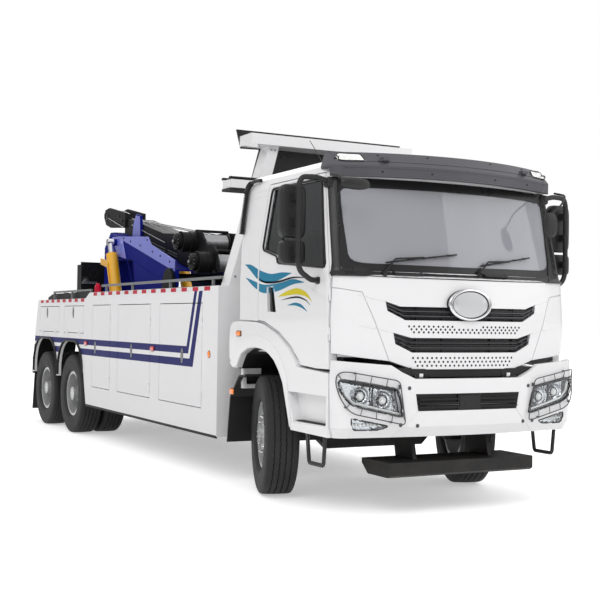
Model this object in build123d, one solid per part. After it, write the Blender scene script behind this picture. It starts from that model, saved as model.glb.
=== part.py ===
from build123d import *
from math import cos, pi, radians, tan
import os

# Millimetres. X runs across the truck with +X to its own left, Y runs back from
# the front of the bumper, Z runs up from the road. Everything is drawn with Y
# counted from the front and moved to the middle of the length when it is saved.

# Overall
front_y = -10
rear_y = 9750

# Wheels and axles
tyre_radius = 542
tyre_width = 300
rim_radius = 290
rim_width = 230
flange_height = 16
front_axle_y = 1525
drive_axle_y = (7475, 8825)
front_track_half = 1047.5
kingpin_x = 900
twin_outer_x = 1085
twin_spacing = 340
rest_steer = 18
trunnion_radius = 55
banjo_half = 170
spindle_radius = 45
front_spindle = 1180
twin_spindle = 1190
hub_radius = 140
cap_radius = 88
hand_holes = 10
hand_hole_ring = 238
hand_hole = 25
running_fit = 0.3

# Ladder frame
rail_x = 432.5
rail_flange = 80
rail_wall = 10
rail_low = 700
rail_high = 1000
rail_front = 330
rail_rear = 9350
crossmember_y = (420, 2750, 4000, 5400, 6700, 8150)

# Cab
cab_wall = 50
nose_wall = 45
firewall_inset = 95
cab_floor_z = 1300
cab_floor_wall = 50
cab_roof_z = 2960
corner_run = 120
corner_depth = 170
tilt_y = 95
tilt_z = 1155
tilt_pin = 18
lug_radius = 34
nose_low = 1198
nose_high = 1965
door_gap = 8
door_front_y = 272
nose_rear_y = 258
sill_x = 1118
seam_depth = 8
bumper_wall = 45
door_hinge_x = 1208
door_hinge_y = 275
hinge_radius = 9
door_hinge_z = (1480, 1800)
mirror_x = 1420
glass_wall = 12

# Side lockers
body_half = 1250
skin_wall = 40
locker_inner_x = 770
body_front = 2420
body_low = 440
body_high = 1926
rear_high = 1852
step_y = (6620, 6800)
body_rear = 9220
tail_y = 9535
tail_low = 760
wheelhouse_z = 1300
wheelhouse_y = 6880
door_low = 690
door_high = 1761
flap_low = 1380
flap_high = 1757
locker_gap = 8
locker_door_wall = 38
hinge_out = 9

# Deck
subframe_high = 1250
deck_wall = 40
mast_slot_half = 330
mast_slot_y = 8600

# Boom
boom_pivot_y = 5750
boom_pivot_z = 2130
boom_shaft = 50
frame_half = 450
plate_wall = 40
box_half = 180
boom_slope = 12.5
boom_axis_y = 8100
boom_axis_z = 2915
tube_half = 131
tube_height = 230
tube_front_y = 6250
lift_x = 550
lift_base_y = 7400
lift_base_z = 1420
lift_eye_y = 7940
lift_eye_z = 2700
barrel_radius = 82
rod_radius = 40
winch_centres = ((4930, 2290), (5460, 2570))
drum_half = 205
drum_radius = 95
flange_radius = 128
housing_half = 505
mast_half = 200
mast_low = 765
underlift_y = 9430
underlift_z = 800
fork_x = 420
fork_z = 2185
fork_bore = 38

# Gantry
gantry_front = 2425
gantry_depth = 200
gantry_foot_x = 1135
gantry_top_x = 715
leg_width = 112
beam_half = 950
beam_low = 3345
beam_high = 3450
board_high = 3520


def block(x_low, x_high, y_low, y_high, z_low, z_high):
    size = (x_high - x_low, y_high - y_low, z_high - z_low)
    middle = ((x_low + x_high) / 2, (y_low + y_high) / 2, (z_low + z_high) / 2)
    return Pos(*middle) * Box(*size)


def across(outline, x_low, x_high):
    # Side view outline of (y, z) points, extruded across the truck
    plane = Plane(origin=(x_low, 0, 0), x_dir=(0, 1, 0), z_dir=(1, 0, 0))
    face = make_face(Polyline(*outline, close=True))
    return extrude(plane * face, amount=x_high - x_low, dir=(1, 0, 0))


def along(outline, y_low, y_high):
    # Front view outline of (x, z) points, extruded along the truck
    plane = Plane(origin=(0, y_low, 0), x_dir=(1, 0, 0), z_dir=(0, -1, 0))
    face = make_face(Polyline(*outline, close=True))
    return extrude(plane * face, amount=y_high - y_low, dir=(0, 1, 0))


def rod_x(radius, x_low, x_high, y, z):
    return Pos((x_low + x_high) / 2, y, z) * Rot(0, 90, 0) * Cylinder(radius, x_high - x_low)


def rod_y(radius, y_low, y_high, x, z):
    return Pos(x, (y_low + y_high) / 2, z) * Rot(90, 0, 0) * Cylinder(radius, y_high - y_low)


def rod_z(radius, z_low, z_high, x, y):
    return Pos(x, y, (z_low + z_high) / 2) * Cylinder(radius, z_high - z_low)


def strut(start, end, radius):
    way = Vector(*end) - Vector(*start)
    return Solid.make_cylinder(radius, way.length, Plane(origin=start, z_dir=way.normalized()))


def both_sides(shape):
    return shape + mirror(shape, Plane.YZ)


def on_side(shape, side):
    # Pieces of a pair are drawn on the left, at +X, and mirrored for the right
    return shape if side > 0 else mirror(shape, Plane.YZ)


# The cab's plan at several heights
# columns: height, half width, front at the centre, front at the corner, rear
cab_levels = (
    (1198, 1212, 45, 175, 1975),
    (1600, 1220, 30, 165, 1975),
    (1965, 1220, 60, 195, 1980),
    (2000, 1218, 105, 235, 1980),
    (2300, 1205, 165, 300, 1982),
    (2800, 1170, 260, 400, 1975),
    (2880, 1148, 305, 440, 1960),
    (2930, 1105, 370, 500, 1905),
    (2960, 1010, 430, 560, 1760),
)

# The bumper's plan at several heights
# columns: height, half width, front at the centre, front at the corner, rear
bumper_levels = (
    (649, 1200, 45, 150, 222),
    (735, 1226, 5, 100, 222),
    (1127, 1236, -10, 90, 222),
    (1282, 1232, 0, 96, 208),
)


def level_at(levels, height):
    for low, high in zip(levels, levels[1:]):
        if height <= high[0]:
            break
    share = (height - low[0]) / (high[0] - low[0])
    return [a + (b - a) * share for a, b in zip(low, high)]


def plan_face(level, front, side, rear, depth):
    height, half, centre_y, corner_y, rear_end = level
    half -= side
    centre_y += front
    corner_y += front
    rear_end -= rear
    corner_x = half - corner_run
    side_y = min(corner_y + depth, rear_end - 5)
    middle = (corner_x + 0.72 * corner_run, corner_y + 0.3 * (side_y - corner_y))
    outline = [
        Line((-half, rear_end), (-half, side_y)),
        ThreePointArc((-half, side_y), (-middle[0], middle[1]), (-corner_x, corner_y)),
        ThreePointArc((-corner_x, corner_y), (0, centre_y), (corner_x, corner_y)),
        ThreePointArc((corner_x, corner_y), middle, (half, side_y)),
        Line((half, side_y), (half, rear_end)),
        Line((half, rear_end), (-half, rear_end)),
    ]
    return Pos(0, 0, height) * make_face(outline)


def plan_volume(levels, low, high, front=0, side=0, rear=0, depth=corner_depth):
    heights = [low] + [level[0] for level in levels if low < level[0] < high] + [high]
    faces = [plan_face(level_at(levels, z), front, side, rear, depth) for z in heights]
    return loft(faces, ruled=True)


def cab_volume(low=nose_low, high=cab_roof_z, front=0, side=0, rear=0):
    return plan_volume(cab_levels, low, high, front, side, rear)


def bumper_volume(front=0, side=0, rear=0):
    low, high = bumper_levels[0][0], bumper_levels[-1][0]
    return plan_volume(bumper_levels, low, high, front, side, rear, 110)


# Side view outlines of the cab
door_outline = (
    (door_front_y, 1176), (776, 1208), (800, 1252), (941, 1368), (1159, 1483), (1436, 1569),
    (1590, 1586), (1590, 2250), (1478, 2828), (478, 2828), (302, 2000), (door_front_y, 1930),
)
doorway_outline = (
    (door_front_y, 1355), (880, 1355), (1140, 1500), (1330, 1572), (1500, 1608), (1590, 1608),
    (1590, 2250), (1478, 2828), (478, 2828), (302, 2000), (door_front_y, 1930),
)
window_outline = (
    (354, 2035), (1215, 2105), (1228, 2165), (1518, 2235), (1408, 2772), (508, 2772),
)
fender_zone = (
    (776, 1150), (776, 1203), (798, 1247), (939, 1362), (1157, 1477), (1435, 1563), (1590, 1582),
    (2070, 1598), (2070, 1150),
)
windshield_outline = (
    (-1098, 2003), (-1126, 2030), (-1128, 2060), (-1078, 2790), (1078, 2790), (1128, 2060), (1126, 2030), (1098, 2003),
)

# Front view outlines: the nose panel, its corner seam on the left, and the bumper's top
nose_outline = (
    (-1300, 1985), (-1300, 1347), (-1030, 1302), (-737, 1270), (-525, 1202),
    (525, 1202), (737, 1270), (1030, 1302), (1300, 1347), (1300, 1985),
)
seam_outline = ((1230, 1868), (974, 1831), (735, 1258), (741, 1256), (979, 1826), (1230, 1862))
bumper_outline = (
    (-1300, 600), (-1300, 1282), (-1130, 1266), (-760, 1238), (-660, 1180), (-540, 1127),
    (540, 1127), (660, 1180), (760, 1238), (1130, 1266), (1300, 1282), (1300, 600),
)


def grown(outline, amount):
    face = make_face(Polyline(*outline, close=True))
    return offset(face, amount=amount, kind=Kind.INTERSECTION)


def across_face(face, x_low, x_high):
    plane = Plane(origin=(x_low, 0, 0), x_dir=(0, 1, 0), z_dir=(1, 0, 0))
    return extrude(plane * face, amount=x_high - x_low, dir=(1, 0, 0))


def along_face(face, y_low, y_high):
    plane = Plane(origin=(0, y_low, 0), x_dir=(1, 0, 0), z_dir=(0, -1, 0))
    return extrude(plane * face, amount=y_high - y_low, dir=(0, 1, 0))


def build_frame():
    rail = along(
        (
            (rail_x, rail_low), (rail_x, rail_high), (rail_x - rail_flange, rail_high),
            (rail_x - rail_flange, rail_high - rail_wall), (rail_x - rail_wall, rail_high - rail_wall),
            (rail_x - rail_wall, rail_low + rail_wall), (rail_x - rail_flange, rail_low + rail_wall),
            (rail_x - rail_flange, rail_low),
        ),
        rail_front, rail_rear,
    )
    frame = both_sides(rail)
    inside = rail_x - rail_wall
    for y in crossmember_y:
        frame += block(-inside, inside, y, y + 70, rail_high - 120, rail_high - 20)
    # Brackets that carry the cab's tilt pin, and the posts its rear rests on
    bracket = across(
        ((tilt_y - 30, tilt_z - 60), (rail_front, 880), (560, 1000), (560, 1040), (330, 1120),
         (tilt_y + 20, tilt_z + 30), (tilt_y - 30, tilt_z + 20)),
        rail_x - 50, rail_x - rail_wall,
    )
    bracket += rod_x(tilt_pin, rail_x - 50, rail_x + 40, tilt_y, tilt_z)
    post = block(rail_x - 60, rail_x, 1800, 1900, rail_high, cab_floor_z - running_fit)
    # Trunnion of the drive axles' springs
    trunnion_y = sum(drive_axle_y) / 2
    hanger = block(rail_x - rail_wall, rail_x, trunnion_y - 110, trunnion_y + 110, 490, rail_low)
    trunnion = rod_x(trunnion_radius, rail_x - rail_wall, 540, trunnion_y, 555)
    return frame + both_sides(bracket + post + hanger + trunnion)


def build_driveline():
    engine = block(-320, 320, 650, 1850, 640, 1240)
    gearbox = block(-190, 190, 1850, 2600, 620, 990)
    shaft = strut((0, 2590, 760), (0, drive_axle_y[0] - banjo_half + 5, 600), 60)
    link = rod_y(50, drive_axle_y[0] + banjo_half - 5, drive_axle_y[1] - banjo_half + 5, 0, 600)
    mount = block(315, rail_x - rail_wall, 1000, 1110, 840, 900)
    return engine + gearbox + shaft + link + both_sides(mount)


def build_axles():
    beam = along(
        ((-860, 485), (-620, 485), (-530, 400), (530, 400), (620, 485), (860, 485),
         (860, 595), (620, 595), (520, 505), (-520, 505), (-620, 595), (-860, 595)),
        front_axle_y - 45, front_axle_y + 45,
    )
    eye = rod_z(62, 470, 614, kingpin_x, front_axle_y)
    beam += both_sides(eye)
    beam -= both_sides(rod_z(25 + running_fit, 460, 630, kingpin_x, front_axle_y))
    # Front spring: a leaf pack bowed between its two hangers
    top = ThreePointArc((700, 690), (front_axle_y, 590), (2350, 690))
    low = ThreePointArc((700, 668), (front_axle_y, 505), (2350, 668))
    sides = [top, Line((2350, 690), (2350, 668)), low, Line((700, 668), (700, 690))]
    pack = across_face(make_face(sides), 385, 475)
    for y in (700, 2290):
        pack += block(385, 425, y, y + 60, 675, rail_low)
    axles = beam + both_sides(pack)
    for y in drive_axle_y:
        housing = rod_x(70, -790, 790, y, tyre_radius)
        housing += rod_x(spindle_radius, -twin_spindle, twin_spindle, y, tyre_radius)
        housing += both_sides(rod_x(190, 610, 770, y, tyre_radius))
        housing += Pos(0, y, tyre_radius) * Rot(90, 0, 0) * Cylinder(205, 2 * banjo_half)
        axles += housing
    middle = sum(drive_axle_y) / 2
    ends = (drive_axle_y[0] - 60, drive_axle_y[1] + 60)
    pack = across(
        ((ends[0], 608), (middle - 120, 600), (middle - 100, 565), (middle + 100, 565), (middle + 120, 600),
         (ends[1], 608), (ends[1], 640),
         (middle + 300, 740), (middle - 300, 740), (ends[0], 640)),
        445, 530,
    )
    pack -= rod_x(trunnion_radius + running_fit, 400, 545, middle, 555)
    return axles + both_sides(pack)


def build_bumper():
    low, high = bumper_levels[0][0], bumper_levels[-1][0]
    deep = tuple((z, half, mid, corner, rear + 60) for z, half, mid, corner, rear in bumper_levels)
    skin = bumper_volume() - plan_volume(deep, low, high, bumper_wall, bumper_wall, 0, 150)
    skin &= along(bumper_outline, -200, 400)
    for outline in (lamp_outline, fog_outline):
        skin -= both_sides(along(outline, -200, 300))
    skin -= along(intake_outline, -60, 120)
    # Brackets back to the frame's front end
    arm = block(rail_x - 40, rail_x - rail_wall, 45, rail_front, 760, 850)
    return skin + both_sides(arm)


# Front view outlines of the left-hand headlamp and fog lamp, and of the lower air intake
lamp_outline = (
    (705, 1047), (1195, 1130), (1208, 1080), (1172, 985), (1093, 913), (645, 815),
)
fog_outline = ((775, 746), (1102, 814), (1096, 752), (1074, 717), (843, 714))
intake_outline = ((-535, 1003), (535, 1003), (508, 862), (-508, 862))


def build_headlamps():
    shell = bumper_volume(8, 8) - bumper_volume(60, 60)
    lamps = None
    for outline in (lamp_outline, fog_outline):
        lamp = both_sides(shell & along_face(grown(outline, -1), -200, 206))
        lamps = lamp if lamps is None else lamps + lamp
    return lamps


def build_tow_beam():
    beam = across(((75, 335), (75, 439), (520, 439), (520, 400), (420, 315), (110, 315)), -739, 739)
    plate = across(((230, 439), (300, rail_low), (560, rail_low), (500, 439)), rail_x - 60, rail_x - 20)
    beam += both_sides(plate)
    # Grille of the bumper's opening, held by two stays from the upright plates
    back = along_face(grown(intake_outline, -1), 20, 34)
    for z in (885, 918, 951):
        back += block(-505, 505, 2, 20, z, z + 14)
    stay = across(((34, 895), (34, 915), (310, 690), (300, 660)), rail_x - 60, rail_x - 48)
    return beam + back + both_sides(stay)


def build_fenders():
    outline = (
        (230, 650), (230, 1168), (782, 1198), (808, 1240), (948, 1354), (1165, 1469), (1440, 1555),
        (1592, 1574), (1960, 1580), (2085, 1568), (2141, 1532), (2162, 1440), (2158, 1228), (2070, 1138),
        (1984, 1139), (1930, 1215), (1877, 1275), (1740, 1325), (1583, 1340), (1430, 1327), (1301, 1290),
        (1190, 1232), (1100, 1150), (1016, 1041), (873, 656),
    )
    fender = across(outline, -1240, -1130)
    # Recessed step, its shelf, and the hoop step hung below
    fender -= across(((262, 735), (262, 982), (925, 982), (818, 720)), -1250, -1160)
    fender += across(((255, 715), (255, 741), (826, 735), (816, 709)), -1232, -1160)
    hoop = across(((320, 652), (345, 420), (368, 396), (590, 396), (612, 420), (650, 652)), -1215, -1190)
    hoop -= across(((342, 660), (366, 426), (375, 418), (583, 418), (592, 426), (628, 660)), -1230, -1180)
    fender += hoop
    fender += block(-1130, -rail_x, 640, 690, 700, 760)
    fender += block(-1130, -rail_x, 2000, 2045, 1000 - 60, 1000 - 20)
    fender += block(-1165, -1130, 1995, 2045, 940, 1200)
    return both_sides(fender)


def build_mudguards():
    front = across(
        ((1850, 1068), (1985, 1052), (2172, 850), (2235, 410), (2248, 410), (2186, 856), (1992, 1066), (1850, 1082)),
        -1215, -700,
    )
    rear = across(
        ((9350, 1299.7), (9490, 900), (9555, 640), (9638, 170), (9650, 170), (9567, 640), (9502, 905), (9362, 1299.7)),
        -1205, -600,
    )
    stay = block(-1130, -700, 2045, 2085, 940, 965)
    front -= block(-1170, -1125, 1990, 2050, 930, 1210)
    return both_sides(front) + both_sides(rear) + both_sides(stay)


def build_cab_shell():
    shell = cab_volume(low=cab_floor_z)
    hollow = cab_volume(cab_floor_z + cab_floor_wall, cab_roof_z - 45, firewall_inset, cab_wall, cab_wall)
    house = across_face(grown(fender_zone, 45), 1075, 1300)
    hollow -= both_sides(house)
    shell -= hollow
    shell -= both_sides(across(fender_zone, 1120, 1300))
    # Seat of the nose panel in front of the firewall, and a pocket for the grille's carrier
    seat = nose_wall + running_fit
    shell -= block(-1300, 1300, -200, door_front_y, 1100, nose_high + 2) - cab_volume(
        low=1100, high=nose_high + 2, front=seat, side=seat)
    shell -= block(-50, 50, -200, 300, 1390, 1690) - cab_volume(front=70)
    shell -= both_sides(across(doorway_outline, 900, 1300))
    shell -= both_sides(across(door_outline, sill_x, 1300))
    shell -= along(windshield_outline, -200, 620)
    # Lugs that turn on the tilt pins
    lug = across(
        ((tilt_y - 12, tilt_z - 28), (tilt_y + 30, tilt_z - 15), (380, cab_floor_z), (215, cab_floor_z),
         (tilt_y + 30, tilt_z + 36), (tilt_y - 20, tilt_z + 22)),
        rail_x + 2, rail_x + 38,
    )
    lug += rod_x(lug_radius, rail_x + 2, rail_x + 38, tilt_y, tilt_z)
    lug -= rod_x(tilt_pin + running_fit, rail_x - 10, rail_x + 60, tilt_y, tilt_z)
    return shell + both_sides(lug + fixed_hinges())


def build_nose():
    panel = block(-1300, 1300, -200, nose_rear_y, nose_low, nose_high)
    panel &= cab_volume(high=nose_high) - cab_volume(high=nose_high, front=nose_wall, side=nose_wall)
    panel &= along(nose_outline, -200, 400)
    # Seam of the corner panels
    skin = cab_volume(high=nose_high) - cab_volume(high=nose_high, front=seam_depth, side=seam_depth)
    panel -= both_sides(skin & along(seam_outline, -200, 400))
    for outline in grille_outlines:
        panel -= along(outline, -200, 400)
    panel -= oval_plate(0.3)
    # Room for the door hinges
    for z in door_hinge_z:
        panel -= both_sides(block(1160, 1300, door_hinge_y - 16, 300, z - 60, z + 66))
    return panel


# Front view outlines of the two grille openings
grille_outlines = (
    ((-780, 1758), (-650, 1717), (650, 1717), (780, 1758), (766, 1680), (610, 1605), (-610, 1605), (-766, 1680)),
    ((-715, 1503), (-550, 1461), (550, 1461), (715, 1503), (694, 1410), (540, 1340), (-540, 1340), (-694, 1410)),
)


def oval_plate(spare):
    # Blank oval plate in the middle of the upper opening
    face = Plane(origin=(0, 12, 1742), x_dir=(1, 0, 0), z_dir=(0, -1, 0)) * Ellipse(217 + spare, 131 + spare)
    return extrude(face, amount=56, dir=(0, 1, 0))


def build_grille():
    back = cab_volume(high=nose_high, front=28, side=28) - cab_volume(high=nose_high, front=45, side=45)
    bars = cab_volume(high=nose_high, front=6, side=6) - cab_volume(high=nose_high, front=30, side=30)
    grille = oval_plate(0)
    for outline in grille_outlines:
        opening = along_face(grown(outline, -1), -200, 300)
        low = outline[5][1]
        slats = [block(-800, 800, -200, 300, z, z + 12) for z in range(int(low) + 22, int(low) + 112, 30)]
        grille += back & opening
        grille += bars & opening & Compound(children=slats)
    # Upright carrier behind the panel that joins the two openings
    deep = cab_volume(high=nose_high, front=nose_wall + 12)
    carrier = cab_volume(high=nose_high, front=nose_wall + 0.5) - deep
    feet = cab_volume(high=nose_high, front=nose_wall - 5) - deep
    grille += carrier & block(-40, 40, -200, 300, 1400, 1680)
    for low, high in ((1400, 1455), (1612, 1680)):
        grille += feet & block(-40, 40, -200, 300, low, high)
    return grille


def build_windshield():
    glass = cab_volume(high=2840, low=1990, front=14, side=14) - cab_volume(
        high=2840, low=1990, front=14 + glass_wall, side=14 + glass_wall)
    return glass & along_face(grown(windshield_outline, -0.5), -200, 620)


def build_visor():
    levels = ((2788, 1160, 95, 320, 540), (2880, 1162, 88, 322, 540), (3000, 1130, 185, 415, 540))
    deep = tuple((z, half, mid, corner, rear + 80) for z, half, mid, corner, rear in levels)
    board = plan_volume(levels, 2788, 3000, 0, 0, 0, 110)
    board -= plan_volume(deep, 2788, 3000, 35, 35, 0, 130)
    board -= both_sides(along(((948, 2925), (955, 2965), (1095, 2970), (1120, 2930)), -100, 540))
    # End brackets on the roof's shoulders
    board += both_sides(block(700, 760, 200, 480, 2925, 2950))
    # Ends stop ahead of the doors' swing
    board -= both_sides(block(1000, 1300, 400, 700, 2700, 2860))
    return board - cab_volume(low=2700, front=-1, side=-1)


def build_interior():
    # The dashboard lies against the firewall, 0.3 mm off it
    profile = across(((-100, 1700), (-100, 1985), (420, 2020), (640, 1950), (640, 1710), (480, 1660)), -1130, 1130)
    gap = firewall_inset + running_fit
    inside = cab_volume(1600, 2100, gap, cab_wall + running_fit, cab_wall)
    interior = profile & inside
    seat = across(
        ((960, 1620), (960, 1740), (1450, 1750), (1590, 2430), (1700, 2430), (1600, 1640), (1500, 1600)), 320, 800)
    seat += block(380, 740, 1040, 1480, cab_floor_z + cab_floor_wall + running_fit, 1640)
    interior += both_sides(seat)
    # Steering wheel and its column
    interior += strut((560, 600, 1800), (560, 815, 2010), 28)
    centre = Pos(560, 820, 2015) * Rot(46, 0, 0)
    interior += centre * (Torus(215, 16) + Cylinder(50, 44) + Box(400, 36, 12) + Pos(0, -100, 0) * Box(36, 190, 12))
    return interior + block(-300, 300, 380, 1300, cab_floor_z + cab_floor_wall + running_fit, 1500)


def build_cab_door():
    skin = cab_volume() - cab_volume(front=cab_wall, side=cab_wall)
    door = skin & across_face(grown(door_outline, -door_gap), 900, 1300)
    door -= across(window_outline, 900, 1300)
    # Recessed handle with its pull bar
    door -= across(((1222, 1662), (1275, 1885), (1402, 1888), (1390, 1668)), 1192, 1300)
    door += across(((1285, 1655), (1330, 1895), (1362, 1895), (1320, 1655)), 1190, 1214)
    for z in door_hinge_z:
        door += rod_z(hinge_radius, z, z + 60, door_hinge_x, door_hinge_y)
        door += block(door_hinge_x - 24, door_hinge_x, door_hinge_y, door_front_y + 30, z, z + 60)
        door -= block(1180, 1300, door_front_y, door_hinge_y + hinge_radius + 6, z - 56, z)
    return door


def fixed_hinges():
    # The cab's half of the door hinges, in the gap between nose and door
    leaves = None
    for z in door_hinge_z:
        top = z - running_fit
        leaf = rod_z(hinge_radius, top - 50, top, door_hinge_x, door_hinge_y)
        leaf += block(1130, door_hinge_x, door_front_y - 1, door_front_y + 3, top - 50, top)
        leaves = leaf if leaves is None else leaves + leaf
    return leaves


def build_door_glass():
    pane = cab_volume(front=20, side=20) - cab_volume(front=20 + glass_wall, side=20 + glass_wall)
    return pane & across_face(grown(window_outline, -0.5), 900, 1300)


def build_mirrors():
    x = mirror_x
    head = fillet(block(x - 115, x + 115, 505, 605, 2265, 2715).edges().filter_by(Axis.Z), 30)
    small = fillet(block(x - 115, x + 115, 500, 595, 2045, 2240).edges().filter_by(Axis.Z), 30)
    bar = rod_z(16, 1985, 2785, x, 490)
    arm = strut((1080, 440, 2745), (x, 490, 2770), 16)
    foot = strut((1180, 490, 1915), (x, 490, 2000), 16)
    return head + small + bar + (arm + foot - cab_volume())


def revolved(points, x):
    # Points of (radius, offset along the axle), turned about the axle
    plane = Plane(origin=(x, 0, 0), x_dir=(0, 0, 1), z_dir=(0, 1, 0))
    face = plane * make_face(Polyline(*points, close=True))
    return revolve(face, axis=Axis((0, 0, 0), (1, 0, 0)))


def tyre(x):
    half = tyre_width / 2
    seat = rim_width / 2 - 14.3
    section = (
        (rim_radius, seat), (rim_radius + flange_height + 0.3, seat), (rim_radius + 24, half - 24),
        (rim_radius + 50, half - 8), (430, half), (505, half - 8), (532, half - 26), (tyre_radius, half - 55),
    )
    return revolved(section + tuple((r, -y) for r, y in reversed(section)), x)


def rim(x, dish):
    # A barrel with flanges, and a disc set off by dish along the axle
    half = rim_width / 2
    top = rim_radius + flange_height
    seat = rim_radius - 0.3
    barrel = ((top, -half), (top, -half + 12), (seat, -half + 14), (seat, half - 14),
              (top, half - 12), (top, half), (seat - 16, half), (seat - 16, -half))
    thick = 12 if dish > 0 else -12
    disc = ((rim_radius - 10, dish * 0.5), (rim_radius - 10, dish * 0.5 + thick), (205, dish + thick),
            (120, dish + thick), (120, dish), (198, dish))
    disc = revolved(disc, x)
    for number in range(hand_holes):
        turn = 2 * pi * (number + 0.5) / hand_holes
        place = (hand_hole_ring * cos(turn), hand_hole_ring * cos(turn - pi / 2))
        disc -= rod_x(hand_hole, *sorted((x, x + 2 * dish)), *place)
    return revolved(barrel, x) + disc


def hub(low, shoulder, high, spindle_end):
    # Hub with a closed cap, bored for the spindle
    body = rod_x(hub_radius, low, shoulder, 0, 0) + rod_x(cap_radius, shoulder - 5, high, 0, 0)
    return body - rod_x(spindle_radius + running_fit, low - 5, spindle_end + 2, 0, 0)


def place(shape, y):
    return Pos(0, y, tyre_radius) * shape


def build_front_wheel():
    x = front_track_half
    wheel = rim(x, 75) + hub(x - 15, x + 110, x + 146, front_spindle)
    return place(tyre(x), front_axle_y), place(wheel, front_axle_y)


def build_twin(y):
    outer = twin_outer_x
    inner = outer - twin_spacing
    tyres = tyre(outer) + tyre(inner)
    rims = rim(outer, -100) + rim(inner, 100) + hub(inner + 75, outer + 20, outer + 125, twin_spindle)
    return place(tyres, y), place(rims, y)


def build_knuckle():
    x = kingpin_x
    y = front_axle_y
    knuckle = rod_z(25, 430, 660, x, y)
    for z in (430, 620):
        knuckle += rod_z(60, z, z + 34, x, y)
        knuckle += block(x, x + 105, y - 50, y + 50, z, z + 34)
    knuckle += block(x + 78, x + 105, y - 50, y + 50, 430, 654)
    knuckle += rod_x(spindle_radius, x + 100, front_spindle, y, tyre_radius)
    # Steering arm
    return knuckle + block(x - 18, x + 18, y + 40, y + 190, 430, 462)


def steered(shape, side):
    centre = (side * kingpin_x, front_axle_y, 0)
    return Pos(*centre) * Rot(0, 0, -rest_steer) * Pos(*[-value for value in centre]) * shape


# Locker doors along one side: name, front edge, rear edge
locker_doors = (("fore", 2810, 4020), ("mid", 4310, 5450), ("aft", 5745, 6480))
locker_flaps = (("front", 6865, 7810), ("rear", 8050, 9110))
front_bays = ((2460, 4140), (4190, 5570), (5620, 6690))
rear_bays = ((6920, 7905), (7955, 9140))
hinge_heights = (815, 1565)


hinge_x = body_half + hinge_out


def upright_hinge(y, z, reach):
    # One knuckle of a barrel hinge and its leaf, which ends at reach along Y
    barrel = rod_z(hinge_radius, z, z + 40, hinge_x, y)
    return barrel + block(body_half - 4, hinge_x - 2, *sorted((y, reach)), z, z + 40)


def level_hinge(y, z, reach):
    barrel = rod_y(hinge_radius, y, y + 40, hinge_x, z)
    return barrel + block(body_half - 4, hinge_x - 2, y, y + 40, *sorted((z, reach)))


def build_side_locker():
    inner = body_half - skin_wall
    skin = across(
        ((body_front, body_low), (6720, body_low), (wheelhouse_y, 960), (wheelhouse_y, tail_low),
         (tail_y, tail_low), (body_rear, rear_high), (step_y[1], rear_high), (step_y[0], body_high),
         (body_front, body_high)),
        inner, body_half,
    )
    # Arches with well rounded shoulders over the two drive wheels
    for low, high, top in ((wheelhouse_y, 8050, 1261), (8150, 9385, 1276)):
        arch = block(inner - 10, body_half + 10, low, high, 300, top)
        skin -= fillet(arch.edges().filter_by(Axis.X).group_by(Axis.Z)[-1], 400)
    bank = across(
        ((body_front, body_low), (6720, body_low), (wheelhouse_y, 960), (wheelhouse_y, wheelhouse_z),
         (9375, wheelhouse_z), (body_rear, rear_high), (step_y[1], rear_high), (step_y[0], body_high),
         (body_front, body_high)),
        locker_inner_x, inner,
    )
    back = locker_inner_x + skin_wall
    for low, high in front_bays:
        bank -= block(back, body_half, low, high, body_low + 40, 1860)
    for low, high in rear_bays:
        bank -= block(back, body_half, low, high, wheelhouse_z + 40, 1812)
    locker = skin + bank
    for name, low, high in locker_doors:
        locker -= block(inner - 5, body_half + 5, low, high, door_low, door_high)
    for name, low, high in locker_flaps:
        locker -= block(inner - 5, body_half + 5, low, high, flap_low, flap_high)
    for name, low, high in locker_doors:
        for z in hinge_heights:
            locker += upright_hinge(low + locker_gap / 2, z - 40 - running_fit, low - 30)
    for name, low, high in locker_flaps:
        for y in (low + 150, high - 190):
            locker += level_hinge(y - 40 - running_fit, flap_low + locker_gap / 2, flap_low - 30)
    return locker


def door_panel(low, high, bottom, top):
    inner = body_half - locker_door_wall
    return block(inner, body_half, low + locker_gap, high - locker_gap, bottom + locker_gap, top - locker_gap)


def build_locker_door(low, high):
    door = door_panel(low, high, door_low, door_high)
    for z in hinge_heights:
        door += upright_hinge(low + locker_gap / 2, z, low + 45)
    return door


def build_locker_flap(low, high):
    flap = door_panel(low, high, flap_low, flap_high)
    for y in (low + 150, high - 190):
        flap += level_hinge(y, flap_low + locker_gap / 2, flap_low + 45)
    return flap


def build_deck():
    beam = block(340, 430, 2500, rail_rear, rail_high, subframe_high)
    plate = block(-locker_inner_x, locker_inner_x, body_front, 9300, subframe_high, subframe_high + deck_wall)
    plate -= block(-mast_slot_half, mast_slot_half, mast_slot_y, 9400, subframe_high - 10, 1400)
    deck = plate + both_sides(beam)
    # Crossbearers that carry the front lockers
    for y in (2700, 3800, 4900, 6000):
        deck += both_sides(block(430, locker_inner_x, y, y + 80, 1150, subframe_high))
    ear = across(((7320, 1290), (7340, 1450), (7400, 1475), (7460, 1450), (7480, 1290)), lift_x - 78, lift_x - 45)
    ears = ear + Pos(123, 0, 0) * ear
    ears += rod_x(20, lift_x - 60, lift_x + 60, lift_base_y, lift_base_z)
    return deck + both_sides(ears)


def build_boom_base():
    plate = across(
        ((5420, subframe_high + deck_wall), (5600, 2160), (5680, 2240), (5820, 2240), (5900, 2160),
         (6180, subframe_high + deck_wall)),
        frame_half + 10, frame_half + 50,
    )
    base = both_sides(plate)
    base += rod_x(boom_shaft, -frame_half - 12, frame_half + 12, boom_pivot_y, boom_pivot_z)
    return base + block(-frame_half - 10, frame_half + 10, 5560, 6040, 1290, 1420)


def sloped(y):
    # Height of the inner boom's centre line at a place along the truck
    return boom_axis_z + (y - boom_axis_y) * tan(radians(boom_slope))


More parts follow.
